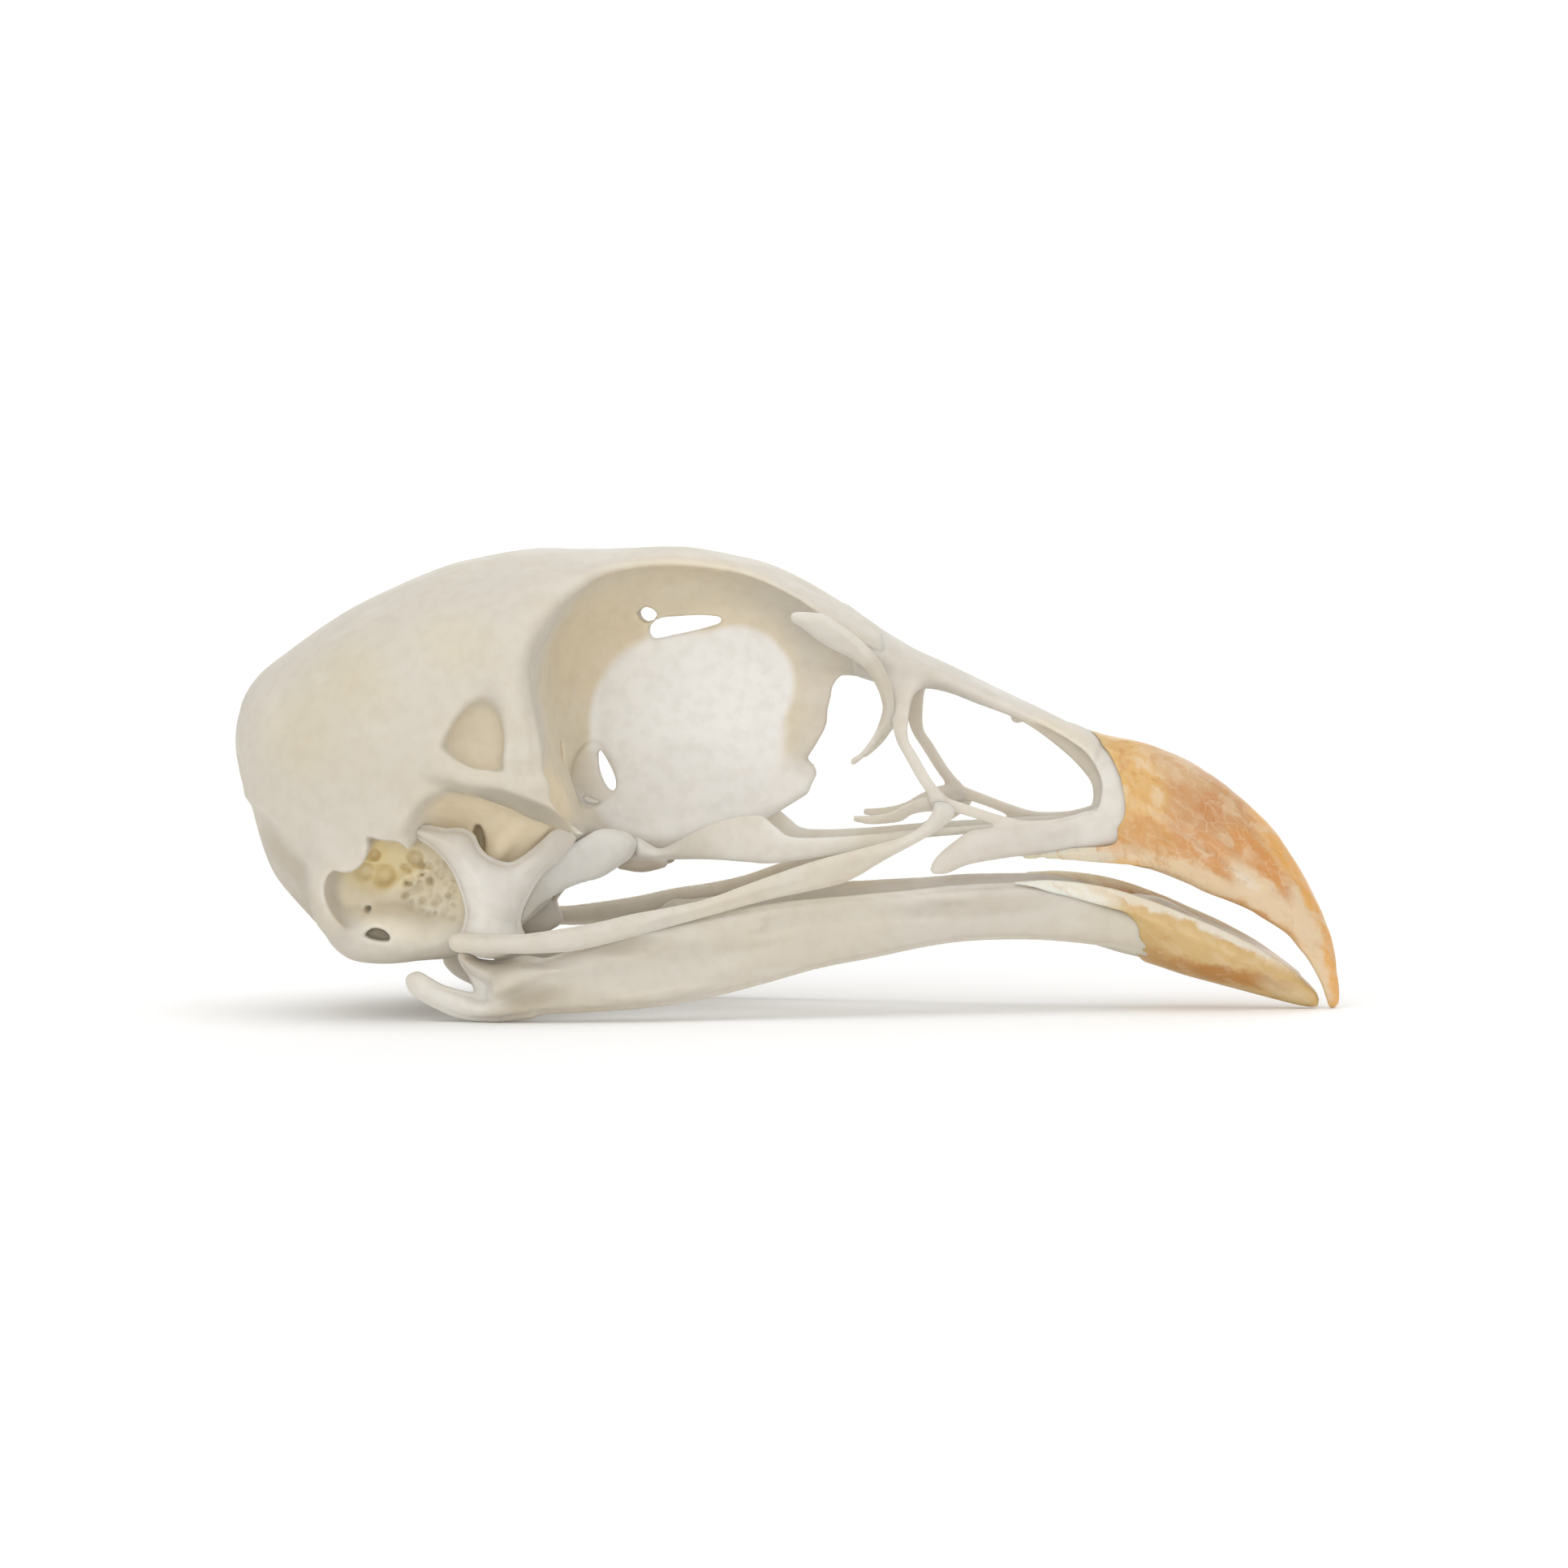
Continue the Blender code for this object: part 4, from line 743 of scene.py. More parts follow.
def surface(field, corner, cell):
    """Points and four-cornered faces where the field is zero."""
    inside = field < 0
    low, high = slice(None, -1), slice(1, None)
    total = np.zeros([n - 1 for n in field.shape], np.int8)
    for cut_x in (low, high):
        for cut_y in (low, high):
            for cut_z in (low, high):
                total += inside[cut_x, cut_y, cut_z]
    crossed = (total > 0) & (total < 8)
    ids = np.full(total.shape, -1, np.int32)
    count = int(crossed.sum())
    ids[crossed] = np.arange(count)
    points, hits, faces = np.zeros((count, 3)), np.zeros(count), []
    for axis in range(3):
        start = [slice(None)] * 3
        end = [slice(None)] * 3
        start[axis], end[axis] = low, high
        changes = inside[tuple(start)] != inside[tuple(end)]
        u, v = (axis + 1) % 3, (axis + 2) % 3
        for border in (u, v):
            edge = [slice(None)] * 3
            for place in (0, -1):
                edge[border] = place
                changes[tuple(edge)] = False
        spots = np.argwhere(changes)
        first = field[tuple(spots.T)]
        step = spots.copy()
        step[:, axis] += 1
        last = field[tuple(step.T)]
        crossing = spots.astype(float)
        crossing[:, axis] += first / (first - last)
        ring = []
        for du, dv in ((1, 1), (0, 1), (0, 0), (1, 0)):
            cell_at = spots.copy()
            cell_at[:, u] -= du
            cell_at[:, v] -= dv
            here = ids[tuple(cell_at.T)]
            ring.append(here)
            for k in range(3):
                points[:, k] += np.bincount(here, crossing[:, k], count)
            hits += np.bincount(here, minlength=count)
        ring = np.stack(ring, 1)
        ring[first > 0] = ring[first > 0][:, ::-1]
        faces.append(ring)
    return points / np.maximum(hits, 1)[:, None] * cell + corner, np.vstack(faces)


def mesh_piece(name, points, faces, most):
    """An object of these points in millimetres, thinned out where it is flat to at most so many triangles."""
    mesh = bpy.data.meshes.new(name)
    mesh.vertices.add(len(points))
    mesh.vertices.foreach_set("co", ((points + ORIGIN_SHIFT) * MM).astype(np.float32).ravel())
    mesh.loops.add(faces.size)
    mesh.loops.foreach_set("vertex_index", faces.astype(np.int32).ravel())
    mesh.polygons.add(len(faces))
    mesh.polygons.foreach_set("loop_start", np.arange(0, faces.size, faces.shape[1], dtype=np.int32))
    mesh.update(calc_edges=True)
    mesh.validate()
    piece = bpy.data.objects.new(name, mesh)
    bpy.context.scene.collection.objects.link(piece)
    triangles = 2 * len(faces)
    if triangles > most:
        thin = piece.modifiers.new("thin", "DECIMATE")
        thin.ratio = most / triangles
        bpy.context.view_layer.update()
        graph = bpy.context.evaluated_depsgraph_get()
        piece.data = bpy.data.meshes.new_from_object(piece.evaluated_get(graph), depsgraph=graph)
        piece.modifiers.clear()
    piece.data.shade_smooth()
    return piece


def symmetric(name, clay):
    """The bone that lies on both sides of the middle plane."""
    whole = np.concatenate([clay.field[:, :0:-1, :], clay.field], axis=1)
    corner = np.array([clay.axes[0][0], -clay.axes[1][-1], clay.axes[2][0]])
    return mesh_piece(name, *surface(whole, corner, clay.cell), clay.most)


def two_sides(name, clay):
    """A right bone and its mirror image on the left."""
    corner = np.array([axis[0] for axis in clay.axes])
    points, faces = surface(clay.field, corner, clay.cell)
    right = mesh_piece("right_" + name, points * (1, -1, 1), faces[:, ::-1], clay.most)
    left = mesh_piece("left_" + name, points, faces, clay.most)
    return right, left


def orbit():
    """The eye socket's space: a small wall outline at the middle, opening to the rim."""
    keys = np.radians(np.linspace(0, 360, len(ORBIT_RIM) + 1))
    fine = np.radians(np.arange(361))
    window = np.hanning(ORBIT_SMOOTHING)
    window /= window.sum()
    wrap = ORBIT_SMOOTHING // 2
    outlines = []
    for radii in (ORBIT_WALL, ORBIT_RIM):
        ring = np.interp(fine, keys, radii + radii[:1])
        ring = np.concatenate([ring[-wrap - 1:-1], ring, ring[1:wrap + 1]])
        outlines.append(np.convolve(ring, window, "valid"))
    level = math.sqrt(1 - ORBIT_STEEPEST ** 2)

    def distance(x, y, z):
        dx, dz = x[:, 0, :] - ORBIT_CENTRE[0], z[:, 0, :] - ORBIT_CENTRE[1]
        angle = np.arctan2(dz, dx) % (2 * math.pi)
        small, large = (np.interp(angle, fine, ring) for ring in outlines)
        opened = np.maximum((np.hypot(dx, dz) - small) / (large - small), 0)
        curved = 1 - np.sqrt(1 - np.minimum(opened, ORBIT_STEEPEST) ** 2)
        straight = 1 - level + (opened - ORBIT_STEEPEST) * (ORBIT_STEEPEST / level)
        share = np.where(opened < ORBIT_STEEPEST, curved, straight)
        flare = ORBIT_FLARE * np.clip(np.cos(angle - ORBIT_FLARE_ANGLE), 0, 1)
        share += flare * np.clip(opened - share, 0, 1)
        floor = SEPTUM_SIDE + (ORBIT_RIM_SIDE - SEPTUM_SIDE) * share
        return levelled(floor[:, None, :] - y, x)
    most = max(ORBIT_RIM) + ORBIT_MARGIN
    corners = np.array([ORBIT_CENTRE, ORBIT_CENTRE]) + [[-most], [most]]
    return [(*box(corners, SEPTUM_SIDE, PAST_SKULL), distance)]


def mark(clay, marks):
    """Soft hollows and ridges, each along a thin line that fades out at both ends."""
    for depth, width, places in marks:
        rows = [(*place, 0.0) for place in places]
        rows[0] = (*places[0], FADE)
        rows[-1] = (*places[-1], FADE)
        clay.press(rod(rows, steps=4), depth, width)


def meet(first, second, blend):
    """The space that two forms share."""
    (low_a, high_a, one), (low_b, high_b, two) = first[0], second[0]

    def distance(x, y, z):
        return -soft_min(-one(x, y, z), -two(x, y, z), blend)
    return [(np.maximum(low_a, low_b), np.minimum(high_a, high_b), distance)]


def ear(clay):
    """Open ear region: its rim and lobe, the pits in its wall and the pale swelling below."""
    room = meet(ball(*EAR_ROOM), slab(EAR_RIM, PAST_SKULL, 0.15), 0.8)
    clay.add(ball(*EAR_FLAP), 0.8)
    clay.add(ball(*EAR_LOBE), 0.8)
    clay.carve(room, 0.2)
    clay.wear(0.45, 1.5, seed=21, bits=ball(*EAR_ROOM), width=2.2)
    clay.add(rod(EAR_SILL), 0.8)
    clay.add(ball(*EAR_FLOOR), 0.9)
    clay.add(rod(EAR_SHELF), 0.7)
    clay.carve(slab(EAR_HOLE, EAR_HOLE_SIDES[1], low=EAR_HOLE_SIDES[0]))
    for x, z, radius in EAR_PITS:
        clay.press(rod([(x, side, z, radius / 2) for side in PIT_SIDES]), PIT_DEPTH, radius)
    rng = np.random.default_rng(4)
    for _ in range(SPONGE_PORES):
        x = rng.uniform(*SPONGE[:2])
        z = rng.uniform(*SPONGE[2:])
        radius = rng.uniform(*SPONGE_RADII)
        # A pore runs in from the side, a little askew
        pore = rod([(x, SPONGE_SIDES[0], z, PORE_LINE), (x + SPONGE_SLANT, SPONGE_SIDES[1], z, PORE_LINE)])
        clay.press(pore, SPONGE_DEPTH, radius * PORE_WIDTH)


def temple(clay):
    """Jaw muscle's hollow and the one behind the eye, with the blade and the strut that part them."""
    clay.carve(ball(*ADDUCTOR), 0.9)
    clay.carve(ball(*OTIC_SOCKET), 0.8)
    clay.add(rod(ADDUCTOR_RIDGE), 0.8)
    clay.carve(ball(*ADDUCTOR_PIT), 0.3)
    clay.carve(ball(*FOSSA_BROW), 0.8)
    clay.carve(meet(ball(*TEMPORAL_BOWL), slab(TEMPORAL_FOSSA, PAST_SKULL, 0.15), 0.6), 0.45)
    clay.add(pillow(**ZYGOMATIC), 0.3)
    clay.add(blade(POSTORBITAL), 0.9)


def eye_wall(clay):
    """Thin wall between the eyes, the keel under it and the openings through and beside it."""
    clay.add(slab(SEPTUM, 0.22, low=-0.3, steps=2), 0.3)
    clay.add(ball(*SEPTUM_SWELL), 0.9)
    clay.add(rod(KEEL), 0.5)
    clay.add(rod(OPTIC_PILLAR), 0.5)
    clay.carve(slab(ROOF_SLOT, PAST_WALL, steps=2), 0.12)
    clay.carve(slab(ROOF_PORE, PAST_WALL, steps=2), 0.12)
    clay.carve(slab(OPTIC_HOLLOW, PAST_WALL, low=0.42), 0.3)
    clay.carve(slab(OPTIC_HOLE, PAST_OPTIC_HOLE), 0.1)
    clay.carve(slab(OPTIC_SLIT, PAST_OPTIC_HOLE, 0.05, steps=2), 0.05)
    for row in OPTIC_PORES:
        clay.press(rod([(*row[:3], 0.05), (*row[3:], 0.05)]), 0.5, 0.45)


def base_fullness(x):
    """How square the braincase's lower half is at each x: fullest between the ears, flatter ahead of them."""
    full = np.clip(1 - np.abs(x - BASE_FULL[0]) / BASE_FULL[1], 0, 1)
    return BASE_POWER + full - np.clip((x - BASE_FLAT[0]) / BASE_FLAT[1], 0, 1)


def cranium():
    """Braincase, forehead, temple, ears and the wall between the eyes."""
    clay = Clay("cranium")
    rows = [(x, top, x, low, half, belly) for x, top, low, half, belly in VAULT]
    clay.add(loft(rows, 6, low_power=base_fullness, rounding=0.2), FIRST_BLEND)
    clay.add(ball(*BACK_SWELL), 0.3)
    clay.press(slab(OCCIPUT, PAST_SKULL), 0.32, 0.5)
    mark(clay, BASE_MARKS)
    clay.add(ball(*CONDYLE), 0.5)
    clay.carve(ball(*FORAMEN_MAGNUM), 0.3)
    clay.carve(orbit(), 0.6)
    temple(clay)
    ear(clay)
    eye_wall(clay)
    clay.wear(0.06, 3.2, seed=1)
    clay.wear(0.02, 1.1, seed=8)
    return clay


def upper_jaw():
    """Bridge over the nostrils, bill core, nasal bars, cheek strands and palate prongs."""
    clay = Clay("upper_jaw")
    clay.add(loft(BILL_CORE, 4, power=2.05, low_power=3.6), FIRST_BLEND)
    clay.add(loft(BRIDGE, 4, low_power=2.0, rounding=0.1), 0.3)
    clay.carve(slab(NOSTRIL, PAST_JAWS), 0.15)
    clay.carve(meet(ball(*NOSTRIL_FUNNEL), slab(NOSTRIL_RIM, PAST_JAWS, 0.15), 0.3), 0.2)
    clay.add(ball(*BRIDGE_DROP), 0.2)
    clay.add(blade(NASAL_BAR, steps=4, edge=0.75), 0.5)
    clay.add(blade(LOWER_BORDER, steps=4, edge=0.75), 0.3)
    clay.add(pillow(**SPIKE), 0.35)
    clay.add(blade(MAXILLO_PALATINE, steps=4, edge=0.8), 0.25)
    clay.wear(0.03, 2.5, seed=2)
    return clay


def upper_sheath():
    """Horn of the upper bill, hooked down past the lower one, its cutting edge drawn back under the jaw."""
    clay = Clay("upper_beak_sheath")
    clay.add(loft(UPPER_SHEATH, 4, power=2.1, low_power=4.5, rounding=0.05), FIRST_BLEND)
    clay.add(blade(TOMIUM), 0.25)
    clay.carve(rod(PALATE_GROOVE), 0.25)
    clay.carve(slab(SHEATH_REAR, PAST_JAWS, 0.05, ragged=0.07, steps=4), 0.06)
    clay.wear(0.05, 1.7, seed=3)
    clay.wear(0.025, 0.6, seed=4)
    return clay


def mandible():
    """Both sides of the lower jaw, joined at the chin."""
    clay = Clay("mandible")
    clay.add(loft(LOWER_CORE, 4, power=2.5, low_power=2.0), FIRST_BLEND)
    clay.add(pillow(**RAMUS), 0.5)
    clay.add(pillow(**ARTICULAR), 0.4)
    clay.add(pillow(**RETROARTICULAR), 0.4)
    clay.add(rod(MEDIAL_PROCESS), 0.5)
    mark(clay, JAW_MARKS)
    clay.carve(ball(*JAW_CUP), 0.3)
    clay.carve(ball(*LOWER_TROUGH), 0.15)
    clay.carve(ball(*CHIN_NOTCH), 0.4)
    clay.wear(0.04, 2.6, seed=5)
    return clay


def lower_sheath():
    """Horn of the lower bill, hollow above like a spoon, its thin strip running back along the jaw's edge."""
    clay = Clay("lower_beak_sheath")
    clay.add(loft(LOWER_SHEATH, 4, power=2.6, low_power=2.0, rounding=0.05), FIRST_BLEND)
    clay.carve(ball(*LOWER_TROUGH), 0.3)
    clay.carve(ball(*CHIN_NOTCH), 0.3)
    clay.add(blade(LOWER_STRIP, edge=0.8), 0.3)
    clay.carve(slab(LOWER_REAR, PAST_JAWS, 0.05, ragged=0.06), 0.06)
    clay.wear(0.04, 1.5, seed=6)
    return clay


def quadrate():
    """Hinge bone between braincase, cheek bar and lower jaw."""
    clay = Clay("quadrate")
    clay.add(pillow(**QUADRATE), FIRST_BLEND)
    clay.add(ball(*QUADRATE_FOOT), 0.5)
    clay.wear(0.04, 1.6, seed=7)
    return clay


def pterygoid():
    """Strut from the quadrate to the keel."""
    clay = Clay("pterygoid")
    clay.add(pillow(**PTERYGOID), FIRST_BLEND)
    clay.wear(0.05, 1.2, seed=9)
    return clay


def palatine():
    """Long strand of the palate, fanned out behind."""
    clay = Clay("palatine")
    clay.add(pillow(**PALATINE), FIRST_BLEND)
    clay.add(rod(PALATINE_HEEL), 0.3)
    return clay


def jugal():
    """Thin cheek bar with a groove along its outer face."""
    clay = Clay("jugal_bar")
    clay.add(pillow(**JUGAL), FIRST_BLEND)
    mark(clay, JUGAL_MARKS)
    return clay


def lacrimal():
    """Brow blade ahead of the eye, curving down to a thin arm."""
    clay = Clay("lacrimal")
    clay.add(pillow(**LACRIMAL), FIRST_BLEND)
    mark(clay, LACRIMAL_MARKS)
    return clay


def tone(red, green, blue):
    """A screen colour, each part 0 to 255, as the light it stands for."""
    return tuple((part / 255) ** 2.2 for part in (red, green, blue)) + (1.0,)


class Skin:
    """A material worked out from each point's place, alike on both sides of the middle."""

    def __init__(self, name, colour):
        self.colour = colour
        self.material = bpy.data.materials.new(name)
        self.material.use_nodes = True
        self.tree = self.material.node_tree
        self.shader = self.tree.nodes["Principled BSDF"]
        spot = self.node("ShaderNodeTexCoord").outputs["Object"]
        split = self.node("ShaderNodeSeparateXYZ", {"Vector": spot})
        side = self.node("ShaderNodeMath", {0: split.outputs["Y"]}, operation="ABSOLUTE")
        whole = {"X": split.outputs["X"], "Y": side.outputs[0], "Z": split.outputs["Z"]}
        self.place = self.node("ShaderNodeCombineXYZ", whole).outputs[0]
        self.stirred = self.stir(0.7, 0.8)

    def stir(self, size, amount):
        """The place shifted by clouds about so many millimetres across, so that outlines wander."""
        settings = {"Vector": self.place, "Scale": 1000.0 / size, "Detail": 4.0, "Roughness": 0.55}
        clouds = self.node("ShaderNodeTexNoise", settings).outputs["Color"]
        shift = self.node("ShaderNodeVectorMath", {0: clouds, 1: (0.5,) * 3}, operation="SUBTRACT")
        bend = {0: shift.outputs[0], 1: (amount * MM,) * 3, 2: self.place}
        return self.node("ShaderNodeVectorMath", bend, operation="MULTIPLY_ADD").outputs[0]

    def node(self, kind, inputs=None, **settings):
        """A new node with these settings, each input a number or another node's output."""
        made = self.tree.nodes.new(kind)
        for key, value in settings.items():
            setattr(made, key, value)
        for key, value in (inputs or {}).items():
            if isinstance(value, bpy.types.NodeSocket):
                self.tree.links.new(value, made.inputs[key])
            else:
                made.inputs[key].default_value = value
        return made

    def framed(self, spot, turn, units, centre=(0.0, 0.0, 0.0)):
        """A place seen from a centre, turned about Y and measured in its own units along each axis."""
        settings = {"Vector": spot, "Location": centre, "Scale": units}
        settings["Rotation"] = (0.0, math.radians(turn), 0.0)
        return self.node("ShaderNodeMapping", settings, vector_type="TEXTURE").outputs[0]

    def noise(self, size, detail=3.0, stretch=EVEN, turn=0.0, stirred=False):
        """Cloudy pattern between 0 and 1, its patches about so many millimetres across."""
        spot = self.stirred if stirred else self.place
        if stretch != EVEN or turn:
            spot = self.framed(spot, turn, stretch)
        made = self.node("ShaderNodeTexNoise", {"Vector": spot, "Scale": 500.0 / size, "Detail": detail})
        return made.outputs[0]

    def cracks(self, size, width, stretch=EVEN, turn=0.0):
        """Network of thin lines, 1 on a line and 0 away from it."""
        settings = {"Vector": self.framed(self.stir(0.6, 0.7), turn, stretch), "Scale": 1000.0 / size}
        cells = self.node("ShaderNodeTexVoronoi", settings, feature="DISTANCE_TO_EDGE")
        return self.step(cells.outputs["Distance"], width, 0.0)

    def step(self, value, start, end, low=0.0, high=1.0):
        """A value turned smoothly into another one, from the first number's place to the second's."""
        settings = {"Value": value, "From Min": start, "From Max": end, "To Min": low, "To Max": high}
        return self.node("ShaderNodeMapRange", settings, interpolation_type="SMOOTHSTEP").outputs[0]

    def near(self, centre, radii, turn=0.0, soft=0.5, most=1.0, ragged=True):
        """Up to 1 inside an ellipsoid in millimetres, 0 outside it."""
        spot = self.stirred if ragged else self.place
        middle = tuple((v + shift) * MM for v, shift in zip(centre, ORIGIN_SHIFT))
        inner = self.framed(spot, turn, tuple(v * MM for v in radii), middle)
        away = self.node("ShaderNodeVectorMath", {0: inner}, operation="LENGTH").outputs["Value"]
        return self.step(away, 1.0 + soft / 2, 1.0 - soft / 2, 0.0, most)

    def times(self, first, second):
        """Two values multiplied."""
        return self.node("ShaderNodeMath", {0: first, 1: second}, operation="MULTIPLY").outputs[0]

    def lay(self, colour, share):
        """One more colour over those before, as strong as its share from 0 to 1."""
        inputs = {"Factor": share, 6: self.colour, 7: colour}
        self.colour = self.node("ShaderNodeMix", inputs, data_type="RGBA").outputs[2]

    def relief(self, layers):
        """Fine unevenness: each layer's pattern and its height in millimetres."""
        normal = None
        for height, depth in layers:
            inputs = {"Height": height, "Distance": depth * MM, "Strength": 1.0}
            if normal:
                inputs["Normal"] = normal
            normal = self.node("ShaderNodeBump", inputs).outputs[0]
        self.tree.links.new(normal, self.shader.inputs["Normal"])

    def waxy(self, radius):
        """Light soaks in a little, this far in millimetres for red, green and blue."""
        self.shader.inputs["Subsurface Weight"].default_value = 0.5
        self.shader.inputs["Subsurface Radius"].default_value = radius
        self.shader.inputs["Subsurface Scale"].default_value = MM

    def finish(self, roughness):
        """The laid colours and the roughness go to the shader."""
        self.tree.links.new(self.colour, self.shader.inputs["Base Color"])
        self.tree.links.new(roughness, self.shader.inputs["Roughness"])
        return self.material


IVORY = tone(201, 194, 182)
WARM_IVORY = tone(198, 190, 174)
JAW_IVORY = tone(199, 193, 183)
THIN_IVORY = tone(200, 196, 187)
PALE = tone(222, 219, 213)
# Painted light: white of the thin wall between the eyes, as if lit through
PAINTED_GLOW_WHITE = tone(225, 223, 218)
# Painted shade: tans for shaded hollows
PAINTED_SHADE_TAN = tone(210, 198, 174)
PAINTED_DEEP_SHADE_TAN = tone(208, 188, 154)
# Painted light: a lighter tan for a shaded hollow
PAINTED_LIGHT_TAN = tone(220, 204, 174)
STRAW = tone(200, 189, 158)
DUSK = tone(162, 149, 126)
# Painted shade: grey for a face turned down
PAINTED_SHADE_GREY = tone(158, 150, 134)
SPONGY = tone(222, 210, 182)
HONEY = tone(226, 210, 166)
AMBER_STAIN = tone(224, 202, 148)
AMBER = tone(206, 165, 104)
DARK_AMBER = tone(184, 130, 64)
ORANGE = tone(198, 140, 80)
ROSE = tone(189, 143, 97)
RUST = tone(184, 120, 68)
RIDGE = tone(212, 158, 86)
CREAM = tone(212, 190, 158)
OCHRE = tone(189, 158, 103)
PALE_OCHRE = tone(204, 176, 124)
UMBER = tone(170, 116, 54)
CRACK = tone(140, 92, 50)
GLASS = tone(218, 212, 199)
CLEAR = tone(199, 189, 170)
# Painted light: pale for a shaded inner wall of horn
PAINTED_LIGHT_PEARL = tone(244, 237, 222)


# Stains, painted shade and painted light: centre x, side, z, radii, turn, softness, colour, strength
SKULL_STAINS_SHADE_AND_LIGHT = [
    # Painted shade: tan over the eye socket's vault, back wall and roof, and on the thick bone ahead of the
    # wall between the eyes
    ((-5.2, 3.6, 15.3), (7.4, 5.6, 7.0), 0, 0.22, PAINTED_SHADE_TAN, 1.0),
    ((-10.4, 3.4, 14.5), (2.3, 4.6, 5.0), 0, 0.4, PAINTED_SHADE_TAN, 0.6),
    ((-9.0, 2.4, 17.6), (2.6, 3.4, 2.8), 40, 0.7, PAINTED_DEEP_SHADE_TAN, 0.4),
    ((1.9, 1.0, 15.2), (1.1, 1.6, 3.4), 6, 0.6, PAINTED_SHADE_TAN, 0.3),
    # Painted light: the thin wall between the eyes and its lower part made paler, as if lit through
    ((-5.05, 0.0, 14.0), (5.2, 1.5, 5.0), 0, 0.14, PAINTED_GLOW_WHITE, 1.0),
    ((-2.6, 0.0, 16.0), (3.1, 1.5, 3.1), 0, 0.14, PAINTED_GLOW_WHITE, 1.0),
    ((-3.6, 0.0, 11.0), (5.4, 1.6, 2.6), 10, 0.4, PALE, 0.9),
    ((-4.2, 0.0, 9.3), (6.8, 1.8, 1.5), 8, 0.6, PALE, 0.9),
    # Painted shade in the hollow behind the eye
    ((-14.2, 8.9, 13.7), (2.0, 1.15, 2.1), 0, 0.5, PAINTED_SHADE_TAN, 0.9),
    # Painted light: a lighter tan brightens the shaded jaw muscle's hollow
    ((-13.4, 7.2, 10.2), (4.2, 2.9, 2.9), 0, 0.5, PAINTED_LIGHT_TAN, 0.95),
    # Painted shade inside the two small openings beside the optic hole
    ((-11.15, 3.5, 12.8), (0.22, 1.5, 0.42), 0, 0.8, UMBER, 0.45),
    ((-11.0, 3.4, 11.05), (0.2, 1.5, 0.3), 0, 0.8, UMBER, 0.4),
    ((-9.7, 0.0, 11.5), (0.9, 0.9, 1.4), 0, 0.4, IVORY, 0.7),
    # Painted shade: grey on the underside of the temple blade, which faces down
    ((-14.8, 9.9, 11.45), (1.9, 1.2, 0.42), 20, 0.8, PAINTED_SHADE_GREY, 0.5),
    ((-12.4, 10.1, 10.75), (2.1, 1.2, 0.62), 22, 0.5, PAINTED_SHADE_GREY, 0.9),
    ((-10.55, 9.9, 9.85), (1.6, 1.2, 0.55), 38, 0.5, PAINTED_SHADE_GREY, 0.9),
    ((-18.4, 6.0, 6.5), (3.4, 2.9, 2.9), 0, 0.35, SPONGY, 0.9),
    ((-19.5, 6.4, 7.7), (1.9, 2.2, 1.3), 0, 0.6, HONEY, 0.8),
    ((-20.1, 6.6, 8.2), (0.9, 2.2, 0.7), 0, 0.7, AMBER_STAIN, 0.5),
    ((-19.4, 5.6, 7.05), (0.55, 2.4, 0.6), 0, 0.7, AMBER_STAIN, 0.5),
    ((-19.2, 6.0, 4.5), (3.4, 2.6, 1.4), 0, 0.6, PALE, 0.35),
    # Painted shade in the ear's small hole
    ((-19.6, 6.4, 4.3), (0.7, 1.2, 0.35), 8, 0.5, DUSK, 0.7),
    ((-15.6, 9.4, 18.9), (2.2, 3.0, 1.6), 20, 1.4, STRAW, 0.35),
    ((-20.9, 8.4, 17.1), (2.4, 3.0, 1.5), 30, 1.4, STRAW, 0.35),
    ((-23.3, 7.6, 14.2), (1.8, 3.0, 2.0), 0, 1.4, STRAW, 0.35),
    # Painted shade: the back of the head, which faces down and back, is darker
    ((-23.9, 5.2, 6.8), (1.6, 4.0, 3.2), -40, 0.6, DUSK, 0.5),
]
JAW_STAINS_AND_SHADE = [
    # Painted shade in the hollow under the jaw's side bump
    ((-12.0, 9.0, 1.2), (1.8, 0.9, 0.6), -8, 1.0, DUSK, 0.7),
    ((-15.9, 7.4, 1.2), (3.0, 1.6, 1.4), 0, 0.8, PALE, 0.7),
    # Painted shade on the inner wall seen through the nostril
    ((12.9, 1.3, 11.7), (2.6, 1.5, 3.0), 0, 0.5, PAINTED_SHADE_TAN, 0.5),
    ((16.2, 2.9, 9.9), (1.9, 1.8, 3.0), 0, 1.0, PALE, 0.4),
    ((-13.8, 8.2, 6.1), (2.6, 2.2, 2.6), 0, 0.8, PALE, 0.5),
    # Painted shade along the jaw's upper groove, the hollow on its side and its underside
    ((9.0, 4.2, 5.3), (7.0, 0.9, 0.5), -3, 1.0, DUSK, 0.3),
    ((-6.6, 8.6, 3.7), (2.4, 0.9, 0.5), -6, 1.0, DUSK, 0.3),
    ((-8.5, 8.0, 0.3), (5.0, 1.2, 0.5), 0, 1.0, DUSK, 0.3),
]
THIN_STAINS_AND_SHADE = [
    ((-0.5, 3.1, 8.4), (3.6, 1.0, 1.1), 0, 0.8, PALE, 0.6),
    # Painted shade along the brow blade's inner edge
    ((4.9, 4.4, 16.0), (0.7, 1.4, 2.2), 0, 0.8, DUSK, 0.3),
    ((-9.5, 3.4, 7.4), (3.4, 3.2, 2.4), 0, 0.8, PALE, 0.8),
    # Painted shade on the palatine's heel under the pterygoid
    ((-7.2, 1.5, 7.2), (1.4, 1.2, 0.35), 0, 0.8, DUSK, 0.8),
]


